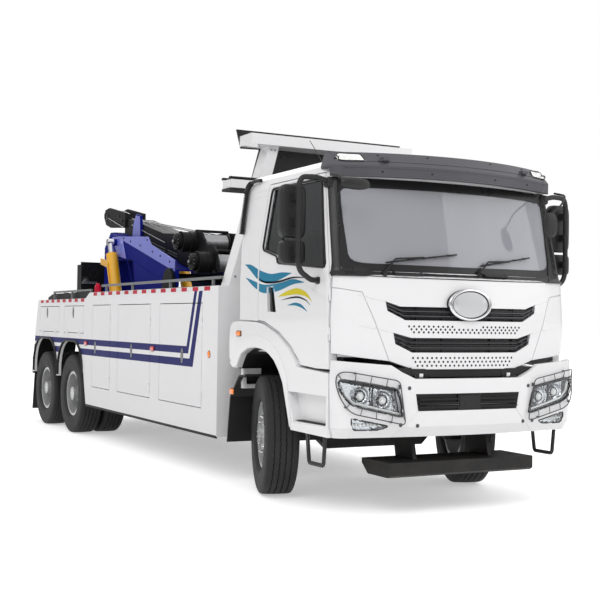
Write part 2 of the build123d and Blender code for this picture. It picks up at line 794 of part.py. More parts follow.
def tube_outline(y_low, y_high, height):
    rise = height / 2 / cos(radians(boom_slope))
    return ((y_low, sloped(y_low) - rise), (y_high, sloped(y_high) - rise),
            (y_high, sloped(y_high) + rise), (y_low, sloped(y_low) + rise))


def build_boom_frame():
    side = across(
        ((5570, 2010), (5570, 2222), (7650, 2720), (8250, 2850), (8250, 2480), (7620, 2440),
         (7230, 2420), (7100, 1980), (5680, 1980)),
        frame_half - plate_wall, frame_half,
    )
    cover = across(
        ((5570, 2202), (5570, 2222), (7650, 2720), (8250, 2850), (8250, 2830), (7650, 2700)),
        box_half, frame_half - plate_wall,
    )
    collar = across(((7560, 2690), (7600, 3085), (7800, 3120), (7900, 3000), (7960, 2785)), -box_half - 30, -box_half)
    side -= rod_x(boom_shaft + running_fit, 300, 600, boom_pivot_y, boom_pivot_z)
    boss = rod_x(50, frame_half, lift_x - 45 - running_fit, lift_eye_y, lift_eye_z)
    frame = both_sides(side + cover + boss) + collar
    frame += block(-frame_half + plate_wall, frame_half - plate_wall, 5950, 7100, 1980, 2010)
    # Rear mast that carries the underlift
    mast = across(
        ((8210, 2480), (8210, 2690), (8250, 2800), (8760, 2915), (8980, 2925), (9270, 2700),
         (9270, mast_low), (8890, mast_low), (8890, 2480)),
        -mast_half, mast_half,
    )
    mast += block(-frame_half + plate_wall, frame_half - plate_wall, 8210, 8250, 2480, 2690)
    ear = across(
        ((9270, mast_low), (9270, 920), (9430, 880), (9490, 830), (9490, 770), (9430, 730)),
        130, mast_half,
    )
    pin = rod_x(30, -150, 150, underlift_y, underlift_z)
    return frame + mast + both_sides(ear) + pin


def build_boom_box():
    box = across(
        ((5640, 2256), (5640, 2690), (6754, 2772), (8100, 3072), (8100, 2758), (6500, 2400), (6150, 2325)),
        -box_half, box_half,
    )
    box -= across(tube_outline(6150, 8010, tube_height + 12), -tube_half - 6, tube_half + 6)
    # The mouth closes to a sliding fit on wear pads
    box -= across(tube_outline(8000, 8300, tube_height + 0.8), -tube_half - 0.4, tube_half + 0.4)
    # Cheeks that hold the two winches
    cheek = across(
        ((4760, 2200), (4760, 2420), (4860, 2490), (5060, 2500), (5250, 2690), (5560, 2720), (6050, 2715), (6050, 2350), (5560, 2236)),
        drum_half + 20, drum_half + 45,
    )
    cheek += block(box_half, drum_half + 20, 5660, 6000, 2345, 2670)
    for y, z in winch_centres:
        cheek -= rod_x(66, drum_half, drum_half + 70, y, z)
        cheek += rod_x(flange_radius, drum_half + 45, housing_half - 60, y, z)
        cheek += rod_x(105, housing_half - 60, housing_half, y, z)
    box += both_sides(cheek)
    for y, z in winch_centres:
        box += rod_x(18, -drum_half - 20, drum_half + 20, y + 30, z + 150)
    return box


def build_winch_drum(y, z):
    drum = rod_x(drum_radius, -drum_half, drum_half, y, z)
    for side in (-1, 1):
        drum += rod_x(flange_radius - 4, *sorted((side * drum_half, side * (drum_half - 14))), y, z)
        drum += rod_x(65.7, *sorted((side * drum_half, side * (drum_half + 44.7))), y, z)
    return drum


def build_inner_boom():
    tube = across(tube_outline(tube_front_y, 8520, tube_height), -tube_half, tube_half)
    tube -= across(tube_outline(tube_front_y - 50, 8420, tube_height - 40), -tube_half + 20, tube_half - 20)
    head = across(
        ((8420, 2965), (8420, 3195), (9180, 3330), (9380, 3310), (9440, 3200), (9330, 3070), (9100, 3010)),
        tube_half - 1, tube_half + 34,
    )
    tube += both_sides(head)
    tube += rod_x(28, -tube_half, tube_half, 9260, 3190)
    for x in (-65, 65):
        tube += rod_x(105, x - 26, x + 26, 9260, 3190)
    tube += block(-tube_half, tube_half, 8440, 8560, 3060, 3180)
    return tube


def build_barrels():
    top = lift_top(0.86)
    barrel = strut((lift_x, lift_base_y, lift_base_z), top, barrel_radius)
    eye = rod_x(44, lift_x - 44, lift_x + 44, lift_base_y, lift_base_z)
    barrel -= Pos(lift_x, lift_base_y, lift_base_z) * Rot(0, 90, 0) * Cylinder(120, 200)
    neck = strut((lift_x, lift_base_y, lift_base_z), lift_top(0.12), 40)
    barrel += neck + eye
    barrel -= strut(lift_top(0.14), lift_top(1), rod_radius + 0.5)
    barrel -= rod_x(20 + running_fit, lift_x - 100, lift_x + 100, lift_base_y, lift_base_z)
    return both_sides(barrel)


def lift_top(share):
    y = lift_base_y + (lift_eye_y - lift_base_y) * share
    return (lift_x, y, lift_base_z + (lift_eye_z - lift_base_z) * share)


def build_rods():
    rod = strut(lift_top(0.16), lift_top(1), rod_radius)
    eye = rod_x(50, lift_x - 45, lift_x + 45, lift_eye_y, lift_eye_z)
    return both_sides(rod + eye)


def build_underlift():
    arm = block(-118, 118, 9350, 9515, underlift_z, 2380)
    arm += rod_x(82, -118, 118, underlift_y, underlift_z)
    arm -= rod_x(30 + running_fit, -130, 130, underlift_y, underlift_z)
    return arm


def build_crossbar():
    bar = block(-500, 500, 9515, 9545, 1950, 2480)
    bar += block(-400, 400, 9545, 9665, 2110, 2260)
    for x in (-fork_x, fork_x):
        bar += block(x - 75, x + 75, 9545, rear_y, 1990, 2440)
        bar -= rod_y(fork_bore, 9500, rear_y + 10, x, fork_z)
    return bar


def build_rear_stubs():
    stub = block(360, 1200, 9580, 9700, 720, 980)
    stub += block(rail_x - 72, rail_x, rail_rear, 9590, 760, 940)
    return both_sides(stub)


def build_handrails():
    rail = block(-1165, -1135, 2560, 6390, 2000, 2028)
    for y in (2760, 3950, 5200, 6200):
        rail += block(-1162, -1138, y, y + 30, body_high, 2000)
    rear = block(-1165, -1135, 6850, 8700, 1955, 1980)
    for y in (6860, 7750, 8660):
        rear += block(-1162, -1138, y, y + 30, rear_high, 1955)
    return both_sides(rail) + both_sides(rear)


def build_gantry():
    back = gantry_front + gantry_depth
    leg = along(
        ((gantry_foot_x, body_high), (gantry_top_x, beam_low), (gantry_top_x - leg_width, beam_low),
         (gantry_foot_x - leg_width - 60, body_high)),
        gantry_front, back,
    )
    wing = block(760, 1130, gantry_front, back, 2900, 2985)
    frame = both_sides(leg + wing)
    return frame + block(-beam_half, beam_half, gantry_front - 80, back, beam_low, beam_high)


def build_gantry_panel():
    back = gantry_front + gantry_depth
    panel = along(
        ((-1100, body_high + 1), (-gantry_top_x - 12, beam_low - 10), (-935, beam_low - 15), (-985, board_high),
         (985, board_high), (935, beam_low - 15), (gantry_top_x + 12, beam_low - 10), (1100, body_high + 1)),
        back, back + 20,
    )
    return panel


parts = {
    "frame_rails": build_frame(),
    "running_gear": build_axles() + build_driveline(),
    "bumper": build_bumper(),
    "headlamps": build_headlamps(),
    "tow_beam": build_tow_beam(),
    "fenders": build_fenders(),
    "mudguards": build_mudguards(),
    "cab_shell": build_cab_shell(),
    "cab_nose": build_nose(),
    "grille": build_grille(),
    "windshield": build_windshield(),
    "sun_visor": build_visor(),
    "cab_interior": build_interior(),
    "side_lockers": both_sides(build_side_locker()),
    "deck": build_deck(),
    "boom_base": build_boom_base(),
    "boom_frame": build_boom_frame(),
    "boom_box": build_boom_box(),
    "inner_boom": build_inner_boom(),
    "lift_barrels": build_barrels(),
    "lift_rods": build_rods(),
    "underlift_arm": build_underlift(),
    "underlift_crossbar": build_crossbar(),
    "rear_stubs": build_rear_stubs(),
    "handrails": build_handrails(),
    "gantry_frame": build_gantry(),
    "gantry_panel": build_gantry_panel(),
}
for number, (y, z) in enumerate(winch_centres, 1):
    parts[f"winch_drum_{number}"] = build_winch_drum(y, z)

# Pieces that come in pairs: name and shape as drawn on the left
pairs = {
    "cab_door": build_cab_door(),
    "door_glass": build_door_glass(),
    "mirrors": build_mirrors(),
}
for axle, y in zip(("mid", "rear"), drive_axle_y):
    pairs[f"{axle}_tyres"], pairs[f"{axle}_rims"] = build_twin(y)
for name, low, high in locker_doors:
    pairs[f"locker_{name}"] = build_locker_door(low, high)
for name, low, high in locker_flaps:
    pairs[f"flap_{name}"] = build_locker_flap(low, high)

# Pieces that stand turned with the steering
steered_pairs = {"knuckle": build_knuckle()}
steered_pairs["front_tyre"], steered_pairs["front_rim"] = build_front_wheel()

for side, side_name in ((1, "left"), (-1, "right")):
    for name, shape in pairs.items():
        parts[f"{name}_{side_name}"] = on_side(shape, side)
    for name, shape in steered_pairs.items():
        parts[f"{name}_{side_name}"] = steered(on_side(shape, side), side)

os.makedirs("parts", exist_ok=True)
to_middle = Pos(0, -(front_y + rear_y) / 2, 0)
for name, shape in parts.items():
    export_step(to_middle * shape, f"parts/{name}.step")
print(len(parts), "nodes")
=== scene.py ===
import bpy, bmesh, math
from mathutils import Vector, Matrix


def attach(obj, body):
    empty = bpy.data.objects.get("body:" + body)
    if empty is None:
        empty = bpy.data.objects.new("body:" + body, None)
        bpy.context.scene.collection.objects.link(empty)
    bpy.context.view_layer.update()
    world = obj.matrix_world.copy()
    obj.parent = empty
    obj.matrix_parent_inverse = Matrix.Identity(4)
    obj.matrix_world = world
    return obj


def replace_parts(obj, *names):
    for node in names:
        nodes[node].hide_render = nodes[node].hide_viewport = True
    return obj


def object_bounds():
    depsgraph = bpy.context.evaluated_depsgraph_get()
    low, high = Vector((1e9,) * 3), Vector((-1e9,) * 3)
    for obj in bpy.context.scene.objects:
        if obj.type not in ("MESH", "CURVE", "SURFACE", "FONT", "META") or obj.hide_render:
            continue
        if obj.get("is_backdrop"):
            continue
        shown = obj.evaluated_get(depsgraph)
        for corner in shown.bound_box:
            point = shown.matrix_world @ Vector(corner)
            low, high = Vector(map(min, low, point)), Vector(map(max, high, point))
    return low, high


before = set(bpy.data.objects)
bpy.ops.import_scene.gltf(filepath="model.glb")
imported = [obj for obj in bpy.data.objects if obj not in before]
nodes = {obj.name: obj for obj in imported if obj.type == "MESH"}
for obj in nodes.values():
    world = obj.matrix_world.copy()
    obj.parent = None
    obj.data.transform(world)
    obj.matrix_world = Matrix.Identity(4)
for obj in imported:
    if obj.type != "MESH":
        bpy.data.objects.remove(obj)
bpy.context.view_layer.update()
print("frame loaded:", len(nodes), "nodes")

# Pieces are written in millimetres, counted back from the front bumper as in the source,
# and moved to the middle of the length here
midLength = 4870


def at(x, y, z):
    return Vector((x / 1000, (y - midLength) / 1000, z / 1000))


# Camera
view = {
    "place": (-5.593, -12.3054, 1.5831),
    "right": (0.88227, -0.47053, 0.01415),
    "up": (-0.02172, -0.01067, 0.99971),
    "back": (-0.47024, -0.88232, -0.01964),
    "lens": 65.64,
}
lensData = bpy.data.cameras.new("camera")
lensData.lens = view["lens"]
lensData.sensor_width = 36
lensData.clip_end = 200
camera = bpy.data.objects.new("camera", lensData)
bpy.context.scene.collection.objects.link(camera)
camera.matrix_world = Matrix.Translation(view["place"]) @ Matrix(
    (view["right"], view["up"], view["back"])).transposed().to_4x4()
bpy.context.scene.camera = camera
bpy.context.scene.view_settings.view_transform = "Standard"


# Shader helpers: a value may be a number, a colour or another node's socket
def addNode(tree, kind, values=(), **settings):
    made = tree.nodes.new(kind)
    for key, value in settings.items():
        setattr(made, key, value)
    for key, value in dict(values).items():
        if isinstance(value, bpy.types.NodeSocket):
            tree.links.new(value, made.inputs[key])
        else:
            made.inputs[key].default_value = value
    return made


def sums(tree, operation, first, second=0.0, third=0.0):
    return addNode(tree, "ShaderNodeMath", {0: first, 1: second, 2: third}, operation=operation).outputs[0]


def ramp(tree, value, low, high, start=0.0, end=1.0):
    # Smooth step from start to end while value goes from low to high
    made = addNode(tree, "ShaderNodeMapRange",
                   {"Value": value, "From Min": low, "From Max": high, "To Min": start, "To Max": end},
                   interpolation_type="SMOOTHSTEP")
    return made.outputs["Result"]


def mixColour(tree, share, first, second):
    # The mix node's colour sockets are 6 and 7
    return addNode(tree, "ShaderNodeMix", {0: share, 6: first, 7: second}, data_type="RGBA").outputs[2]


def objectCoords(tree):
    return addNode(tree, "ShaderNodeTexCoord").outputs["Object"]


def heightOf(tree, vector):
    return addNode(tree, "ShaderNodeSeparateXYZ", {0: vector}).outputs[2]


def noiseOn(tree, coords, scale, detail, roughness=0.5):
    values = {"Vector": coords, "Scale": scale, "Detail": detail, "Roughness": roughness}
    return addNode(tree, "ShaderNodeTexNoise", values).outputs[0]


def varied(tree, value, middle, amount, base):
    # base, with the distance of value from the middle added amount times
    return sums(tree, "ADD", base, sums(tree, "MULTIPLY", sums(tree, "SUBTRACT", value, middle), amount))


def grey(level):
    return (level, level, level, 1)


def newGroup(name, inputs, outputs):
    tree = bpy.data.node_groups.new(name, "ShaderNodeTree")
    for label, kind, value in inputs:
        socket = tree.interface.new_socket(label, in_out="INPUT", socket_type=kind)
        socket.default_value = value
    for label, kind in outputs:
        tree.interface.new_socket(label, in_out="OUTPUT", socket_type=kind)
    return tree, tree.nodes.new("NodeGroupInput").outputs, tree.nodes.new("NodeGroupOutput").inputs


def closeGroup(tree, outputs, values):
    for label, value in values.items():
        tree.links.new(value, outputs[label])
    return tree


# Road dust: lies low on the truck and on what faces up, broken up by noise
tree, given, out = newGroup(
    "roadDust",
    [("Color", "NodeSocketColor", grey(0.8)), ("Dust", "NodeSocketColor", (0.36, 0.32, 0.27, 1)),
     ("Amount", "NodeSocketFloat", 0.4), ("Low", "NodeSocketFloat", 0.2), ("High", "NodeSocketFloat", 1.2)],
    [("Color", "NodeSocketColor"), ("Mask", "NodeSocketFloat")])
coords = objectCoords(tree)
fall = ramp(tree, heightOf(tree, coords), given["Low"], given["High"], 1.0, 0.0)
patches = noiseOn(tree, coords, 3.1, 6, 0.6)
specks = noiseOn(tree, coords, 41, 3)
faceUp = heightOf(tree, addNode(tree, "ShaderNodeNewGeometry").outputs["Normal"])
lying = sums(tree, "MULTIPLY", ramp(tree, faceUp, 0.75, 1.0), 0.35)
base = sums(tree, "MAXIMUM", fall, lying)
broken = sums(tree, "MULTIPLY", ramp(tree, patches, 0.3, 0.75, 0.35, 1.0), ramp(tree, specks, 0.2, 0.7, 0.6, 1.0))
mask = sums(tree, "MULTIPLY", sums(tree, "MULTIPLY", base, broken), given["Amount"])
closeGroup(tree, out, {"Color": mixColour(tree, mask, given["Color"], given["Dust"]), "Mask": mask})

# Sprayed paint: faint orange peel and slow change of tone and gloss
tree, given, out = newGroup(
    "sprayedPaint",
    [("Color", "NodeSocketColor", grey(0.8)), ("Peel", "NodeSocketFloat", 90.0), ("Tone", "NodeSocketFloat", 0.04),
     ("Gloss", "NodeSocketFloat", 0.3)],
    [("Color", "NodeSocketColor"), ("Roughness", "NodeSocketFloat"), ("Height", "NodeSocketFloat")])
coords = objectCoords(tree)
slow = noiseOn(tree, coords, 1.7, 4)
fine = noiseOn(tree, coords, given["Peel"], 2)
tone = varied(tree, slow, 0.5, given["Tone"], 1.0)
toned = addNode(tree, "ShaderNodeHueSaturation", {"Color": given["Color"], "Value": tone}).outputs[0]
gloss = varied(tree, slow, 0.5, 0.12, given["Gloss"])
closeGroup(tree, out, {"Color": toned, "Roughness": gloss, "Height": fine})

# Edge wear and painted edge highlight: the edge colour, broken up by noise, where the surface turns sharply; on the
# dark paints it is lighter than the paint, a painted highlight
tree, given, out = newGroup(
    "edgeWearAndHighlight",
    [("Color", "NodeSocketColor", grey(0.1)), ("Bare", "NodeSocketColor", grey(0.4)),
     ("Width", "NodeSocketFloat", 0.006), ("Amount", "NodeSocketFloat", 0.6)],
    [("Color", "NodeSocketColor"), ("Mask", "NodeSocketFloat")])
flat = addNode(tree, "ShaderNodeNewGeometry").outputs["Normal"]
eased = addNode(tree, "ShaderNodeBevel", {"Radius": given["Width"]}, samples=4).outputs[0]
turn = addNode(tree, "ShaderNodeVectorMath", {0: flat, 1: eased}, operation="DOT_PRODUCT").outputs["Value"]
broken = noiseOn(tree, objectCoords(tree), 17, 8, 0.7)
edge = sums(tree, "MULTIPLY", ramp(tree, turn, 0.995, 0.9), ramp(tree, broken, 0.42, 0.62))
mask = sums(tree, "MULTIPLY", edge, given["Amount"])
closeGroup(tree, out, {"Color": mixColour(tree, mask, given["Color"], given["Bare"]), "Mask": mask})

# Moulded grain: fine pits for plastic, rubber and cast parts
tree, given, out = newGroup(
    "mouldedGrain",
    [("Color", "NodeSocketColor", grey(0.03)), ("Scale", "NodeSocketFloat", 240.0), ("Fade", "NodeSocketFloat", 0.25),
     ("Gloss", "NodeSocketFloat", 0.5)],
    [("Color", "NodeSocketColor"), ("Roughness", "NodeSocketFloat"), ("Height", "NodeSocketFloat")])
coords = objectCoords(tree)
cells = addNode(tree, "ShaderNodeTexVoronoi", {"Vector": coords, "Scale": given["Scale"]}).outputs["Distance"]
clouds = noiseOn(tree, coords, 5.3, 7, 0.65)
tone = varied(tree, clouds, 0.4, given["Fade"], 1.0)
faded = addNode(tree, "ShaderNodeHueSaturation", {"Color": given["Color"], "Value": tone}).outputs[0]
gloss = varied(tree, clouds, 0.5, 0.25, given["Gloss"])
closeGroup(tree, out, {"Color": faded, "Roughness": gloss, "Height": cells})


def useGroup(tree, name, **values):
    return addNode(tree, "ShaderNodeGroup", values, node_tree=bpy.data.node_groups[name]).outputs


def newFinish(name, **plain):
    # A material whose Principled shader has these plain numbers on its own sockets
    made = bpy.data.materials.new(name)
    made.use_nodes = True
    tree = made.node_tree
    shader = tree.nodes["Principled BSDF"]
    for key, value in plain.items():
        shader.inputs[key.replace("_", " ")].default_value = value
    return made, tree, shader


def connect(tree, shader, **sockets):
    for key, value in sockets.items():
        tree.links.new(value, shader.inputs[key.replace("_", " ")])


def soften(tree, shader, height=None, strength=0.1, distance=0.001, radius=0.003):
    # Rounds the drawn edges a little and adds the fine height on top
    normal = addNode(tree, "ShaderNodeBevel", {"Radius": radius}, samples=3).outputs[0] if radius else None
    if height is not None:
        bump = addNode(tree, "ShaderNodeBump", {"Strength": strength, "Distance": distance, "Height": height})
        if normal:
            tree.links.new(normal, bump.inputs["Normal"])
        normal = bump.outputs[0]
    connect(tree, shader, Normal=normal)


finishes = {}

# Paints: colour, gloss, coat, sheen, dust amount, how much of the edges takes the edge colour and that colour (lighter
# than the paint on the dark paints, a painted highlight; darker on the others, wear)
paints = {
    "whitePaint": dict(colour=(0.76, 0.755, 0.765, 1), gloss=0.3, coat=0.5, dust=0.10, edgeMark=0.0),
    "bluePaint": dict(colour=(0.004, 0.009, 0.17, 1), gloss=0.6, coat=0.0, sheen=0.06, dust=0.03,
                      edgeMark=0.25, edgeColour=(0.06, 0.08, 0.30, 1)),
    # A paler copy of the blue paint: painted light on the boom faces that catch more light
    "litBluePaint": dict(colour=(0.16, 0.18, 0.60, 1), gloss=0.3, coat=0.2, dust=0.03,
                     edgeMark=0.1, edgeColour=(0.05, 0.06, 0.3, 1)),
    "yellowPaint": dict(colour=(0.83, 0.42, 0.012, 1), gloss=0.36, coat=0.4, dust=0.06,
                        edgeMark=0.2, edgeColour=(0.3, 0.16, 0.03, 1)),
    "blackPaint": dict(colour=(0.007, 0.007, 0.008, 1), gloss=0.52, coat=0.0, sheen=0.15, dust=0.04,
                       edgeMark=0.35, edgeColour=(0.08, 0.08, 0.08, 1)),
    "chassisPaint": dict(colour=(0.006, 0.006, 0.007, 1), gloss=0.5, coat=0.0, sheen=0.25, dust=0.08,
                         edgeMark=0.35, edgeColour=(0.07, 0.065, 0.06, 1)),
    "greyPaint": dict(colour=(0.15, 0.155, 0.16, 1), gloss=0.42, coat=0.1, dust=0.1,
                      edgeMark=0.4, edgeColour=(0.3, 0.3, 0.3, 1)),
    "redPaint": dict(colour=(0.46, 0.004, 0.03, 1), gloss=0.4, coat=0.0, sheen=0.2, dust=0.03,
                     edgeMark=0.2, edgeColour=(0.2, 0.05, 0.05, 1)),
    "tealFilm": dict(colour=(0.006, 0.17, 0.29, 1), gloss=0.35, coat=0.0, sheen=0.2, dust=0.02, edgeMark=0.0),
    "yellowFilm": dict(colour=(0.62, 0.52, 0.01, 1), gloss=0.35, coat=0.0, sheen=0.2, dust=0.02, edgeMark=0.0),
    "whiteFilm": dict(colour=(0.72, 0.72, 0.73, 1), gloss=0.35, coat=0.2, dust=0.04, edgeMark=0.0),
}
for name, made in paints.items():
    finish, tree, shader = newFinish(name, Coat_Weight=made["coat"], Coat_Roughness=0.08,
                                     Specular_IOR_Level=made.get("sheen", 0.5))
    sprayed = useGroup(tree, "sprayedPaint", Color=made["colour"], Gloss=made["gloss"])
    colour = sprayed["Color"]
    # Edges take the edge colour: a painted highlight where it is lighter than the paint, wear where it is darker
    if made["edgeMark"]:
        colour = useGroup(tree, "edgeWearAndHighlight", Color=colour, Bare=made["edgeColour"], Amount=made["edgeMark"])["Color"]
    dusty = useGroup(tree, "roadDust", Color=colour, Amount=made["dust"])
    gloss = sums(tree, "ADD", sprayed["Roughness"], sums(tree, "MULTIPLY", dusty["Mask"], 0.5))
    connect(tree, shader, Base_Color=dusty["Color"], Roughness=gloss)
    soften(tree, shader, sprayed["Height"], 0.06, 0.0004)
    finishes[name] = finish

# Body side: the same white, with the two blue bands that turn up behind the cab
bands = {
    "bottoms": (1.098, 1.182, 1.232, 1.309), "top": 1.884, "side": 1.247,  # Metres: both edges of each band, the ends
    "risers": ((3052, 1082, 0.302), (3142, 1168, 0.331), (3179, 1218, 0.337), (3228, 1295, 0.337)),
    "blue": (0.006, 0.008, 0.11, 1), "gloss": 0.55, "dust": 0.06,
}
finish, tree, shader = newFinish("bandedPaint", Specular_IOR_Level=0.2)
place = addNode(tree, "ShaderNodeSeparateXYZ", {0: objectCoords(tree)}).outputs


def inside(tree, place, bottom, riser):
    # 1 above the bottom and behind the slanted riser
    y, z, slope = riser
    line = sums(tree, "ADD", place[1], sums(tree, "MULTIPLY", place[2], slope))
    behind = sums(tree, "GREATER_THAN", line, (y - midLength) / 1000 + z / 1000 * slope)
    return sums(tree, "MULTIPLY", behind, sums(tree, "GREATER_THAN", place[2], bottom))


steps = [inside(tree, place, bottom, riser) for bottom, riser in zip(bands["bottoms"], bands["risers"])]
band = sums(tree, "ADD", sums(tree, "SUBTRACT", steps[0], steps[1]), sums(tree, "SUBTRACT", steps[2], steps[3]))
outside = sums(tree, "GREATER_THAN", sums(tree, "ABSOLUTE", place[0]), bands["side"])
below = sums(tree, "LESS_THAN", place[2], bands["top"])
band = sums(tree, "MULTIPLY", sums(tree, "MULTIPLY", band, outside), below)
colour = mixColour(tree, band, paints["whitePaint"]["colour"], bands["blue"])
sprayed = useGroup(tree, "sprayedPaint", Color=colour, Gloss=bands["gloss"])
dusty = useGroup(tree, "roadDust", Color=sprayed["Color"], Amount=bands["dust"])
connect(tree, shader, Base_Color=dusty["Color"], Roughness=sprayed["Roughness"])
soften(tree, shader, sprayed["Height"], 0.06, 0.0004)
finishes["bandedPaint"] = finish

# Plastics, rubber and cast parts: colour, grain, gloss, how deep the grain is, dust
moulded = {
    "blackPlastic": dict(colour=(0.017, 0.017, 0.018, 1), scale=260, gloss=0.42, depth=0.12, dust=0.12),
    "satinBlack": dict(colour=(0.012, 0.012, 0.013, 1), scale=300, gloss=0.3, depth=0.05, dust=0.05),
    "greyPlastic": dict(colour=(0.08, 0.082, 0.088, 1), scale=260, gloss=0.45, depth=0.1, dust=0.05),
    "dashPlastic": dict(colour=(0.16, 0.165, 0.17, 1), scale=320, gloss=0.6, depth=0.15, dust=0.0),
    "visorPlastic": dict(colour=(0.075, 0.075, 0.085, 1), scale=260, gloss=0.36, depth=0.05, dust=0.03),
    "tyreRubber": dict(colour=(0.016, 0.016, 0.017, 1), scale=150, gloss=0.66, depth=0.15, dust=0.1),
    "sealRubber": dict(colour=(0.012, 0.012, 0.012, 1), scale=200, gloss=0.55, depth=0.08, dust=0.1),
    "castSteel": dict(colour=(0.014, 0.014, 0.015, 1), scale=120, gloss=0.55, depth=0.3, dust=0.12),
    "seatCloth": dict(colour=(0.045, 0.046, 0.05, 1), scale=420, gloss=0.85, depth=0.4, dust=0.0),
}
for name, made in moulded.items():
    finish, tree, shader = newFinish(name, Specular_IOR_Level=0.3)
    grain = useGroup(tree, "mouldedGrain", Color=made["colour"], Scale=made["scale"], Gloss=made["gloss"])
    colour = grain["Color"]
    if made["dust"]:
        colour = useGroup(tree, "roadDust", Color=colour, Amount=made["dust"], Dust=(0.16, 0.145, 0.125, 1))["Color"]
    connect(tree, shader, Base_Color=colour, Roughness=grain["Roughness"])
    soften(tree, shader, grain["Height"], made["depth"], 0.0006, 0.002)
    finishes[name] = finish

# Metals: colour, gloss, how metallic, dust
metals = {
    "rimPaint": dict(colour=(0.50, 0.505, 0.51, 1), gloss=0.34, metallic=0.55, dust=0.1),
    "brightSteel": dict(colour=(0.62, 0.62, 0.63, 1), gloss=0.2, metallic=1.0, dust=0.0),
    "dullSteel": dict(colour=(0.30, 0.30, 0.31, 1), gloss=0.42, metallic=0.9, dust=0.15),
    "wireRope": dict(colour=(0.38, 0.38, 0.39, 1), gloss=0.38, metallic=0.9, dust=0.05),
    "silverFace": dict(colour=(0.55, 0.555, 0.56, 1), gloss=0.34, metallic=0.6, dust=0.0),
    "darkSteel": dict(colour=(0.05, 0.05, 0.052, 1), gloss=0.4, metallic=0.7, dust=0.15),
    "mirrorGlass": dict(colour=(0.75, 0.77, 0.79, 1), gloss=0.04, metallic=1.0, dust=0.0),
}
for name, made in metals.items():
    finish, tree, shader = newFinish(name, Metallic=made["metallic"])
    sprayed = useGroup(tree, "sprayedPaint", Color=made["colour"], Gloss=made["gloss"], Peel=160.0, Tone=0.12)
    dusty = useGroup(tree, "roadDust", Color=sprayed["Color"], Amount=made["dust"])
    connect(tree, shader, Base_Color=dusty["Color"], Roughness=sprayed["Roughness"])
    soften(tree, shader, sprayed["Height"], 0.05, 0.0003, 0.002 if name != "mirrorGlass" else 0)
    finishes[name] = finish

# Glass and lamp lenses
panes = {
    # The windshield is only partly clear; the rest shows its pale grey-blue colour, a painted reflection of the bright
    # sky
    "windowGlass": dict(colour=(0.56, 0.565, 0.61, 1), gloss=0.02, ior=1.45, clear=0.58),
    "sideGlass": dict(colour=(0.10, 0.12, 0.125, 1), gloss=0.02, ior=1.45),
    "clearLens": dict(colour=(0.92, 0.94, 0.95, 1), gloss=0.03, ior=1.3),
}
for name, made in panes.items():
    finish, tree, shader = newFinish(name, Transmission_Weight=made.get("clear", 1.0), IOR=made["ior"],
                                     Roughness=made["gloss"])
    film = useGroup(tree, "roadDust", Color=made["colour"], Amount=0.15, Dust=(0.5, 0.5, 0.48, 1))
    connect(tree, shader, Base_Color=film["Color"])
    finishes[name] = finish
finish, tree, shader = newFinish("lampChrome", Metallic=1.0, Roughness=0.12)
shader.inputs["Base Color"].default_value = (0.58, 0.59, 0.61, 1)
facets = addNode(tree, "ShaderNodeTexVoronoi", {"Vector": objectCoords(tree), "Scale": 46}).outputs["Distance"]
soften(tree, shader, facets, 0.5, 0.006, 0.002)
finishes["lampChrome"] = finish
lenses = {"amberLens": (0.9, 0.22, 0.01, 1), "redLens": (0.62, 0.01, 0.012, 1), "whiteLens": (0.85, 0.85, 0.83, 1)}
for name, colour in lenses.items():
    finish, tree, shader = newFinish(name, Roughness=0.12, Coat_Weight=0.8, Emission_Strength=0.12)
    values = {"Vector": objectCoords(tree), "Scale": 55}
    ribs = addNode(tree, "ShaderNodeTexWave", values, bands_direction="Z").outputs["Color"]
    tint = mixColour(tree, sums(tree, "MULTIPLY", ribs, 0.3), colour, tuple(c * 0.6 for c in colour[:3]) + (1,))
    connect(tree, shader, Base_Color=tint, Emission_Color=tint)
    soften(tree, shader, ribs, 0.4, 0.001, 0.002)
    finishes[name] = finish
print("finishes made:", len(finishes))

# Which finish each CAD node takes
nodeFinish = {
    "frame_rails": "chassisPaint", "running_gear": "castSteel", "bumper": "whitePaint", "headlamps": "clearLens",
    "tow_beam": "chassisPaint", "fenders": "whitePaint", "mudguards": "blackPlastic", "cab_shell": "whitePaint",
    "cab_nose": "whitePaint", "grille": "satinBlack", "windshield": "windowGlass", "sun_visor": "visorPlastic",
    "cab_interior": "dashPlastic", "side_lockers": "bandedPaint", "deck": "chassisPaint", "boom_base": "blackPaint",
    "boom_frame": "bluePaint", "boom_box": "blackPaint", "inner_boom": "blackPaint", "lift_barrels": "yellowPaint",
    "lift_rods": "brightSteel", "underlift_arm": "bluePaint", "underlift_crossbar": "blackPaint",
    "rear_stubs": "blackPaint", "handrails": "greyPaint", "gantry_frame": "whitePaint", "gantry_panel": "satinBlack",
    "winch_drum": "darkSteel", "cab_door": "whitePaint", "door_glass": "sideGlass", "mirrors": "blackPlastic",
    "mid_rims": "rimPaint", "rear_rims": "rimPaint", "front_rim": "rimPaint", "mid_tyres": "tyreRubber",
    "rear_tyres": "tyreRubber", "front_tyre": "tyreRubber", "knuckle": "castSteel", "locker": "bandedPaint",
    "flap": "bandedPaint",
}
for name, piece in nodes.items():
    key = next(key for key in (name, name.rsplit("_", 1)[0], name.split("_")[0]) if key in nodeFinish)
    finish = finishes[nodeFinish[key]]
    if not piece.material_slots:
        piece.data.materials.append(finish)
    for place in piece.material_slots:
        place.material = finish
print("CAD nodes finished")


# Mesh helpers: all take millimetres and add to an open bmesh
def joinRows(shape, rows, around=True, again=False):
    # Faces between neighbouring rows of vertices: around closes each row, again joins the last row to the first
    count = len(rows[0])
    for here, there in list(zip(rows, rows[1:])) + ([(rows[-1], rows[0])] if again else []):
        for k in range(count if around else count - 1):
            m = (k + 1) % count
            shape.faces.new((here[k], here[m], there[m], there[k]))


def capRows(shape, rows):
    shape.faces.new(rows[0][::-1])
    shape.faces.new(rows[-1])


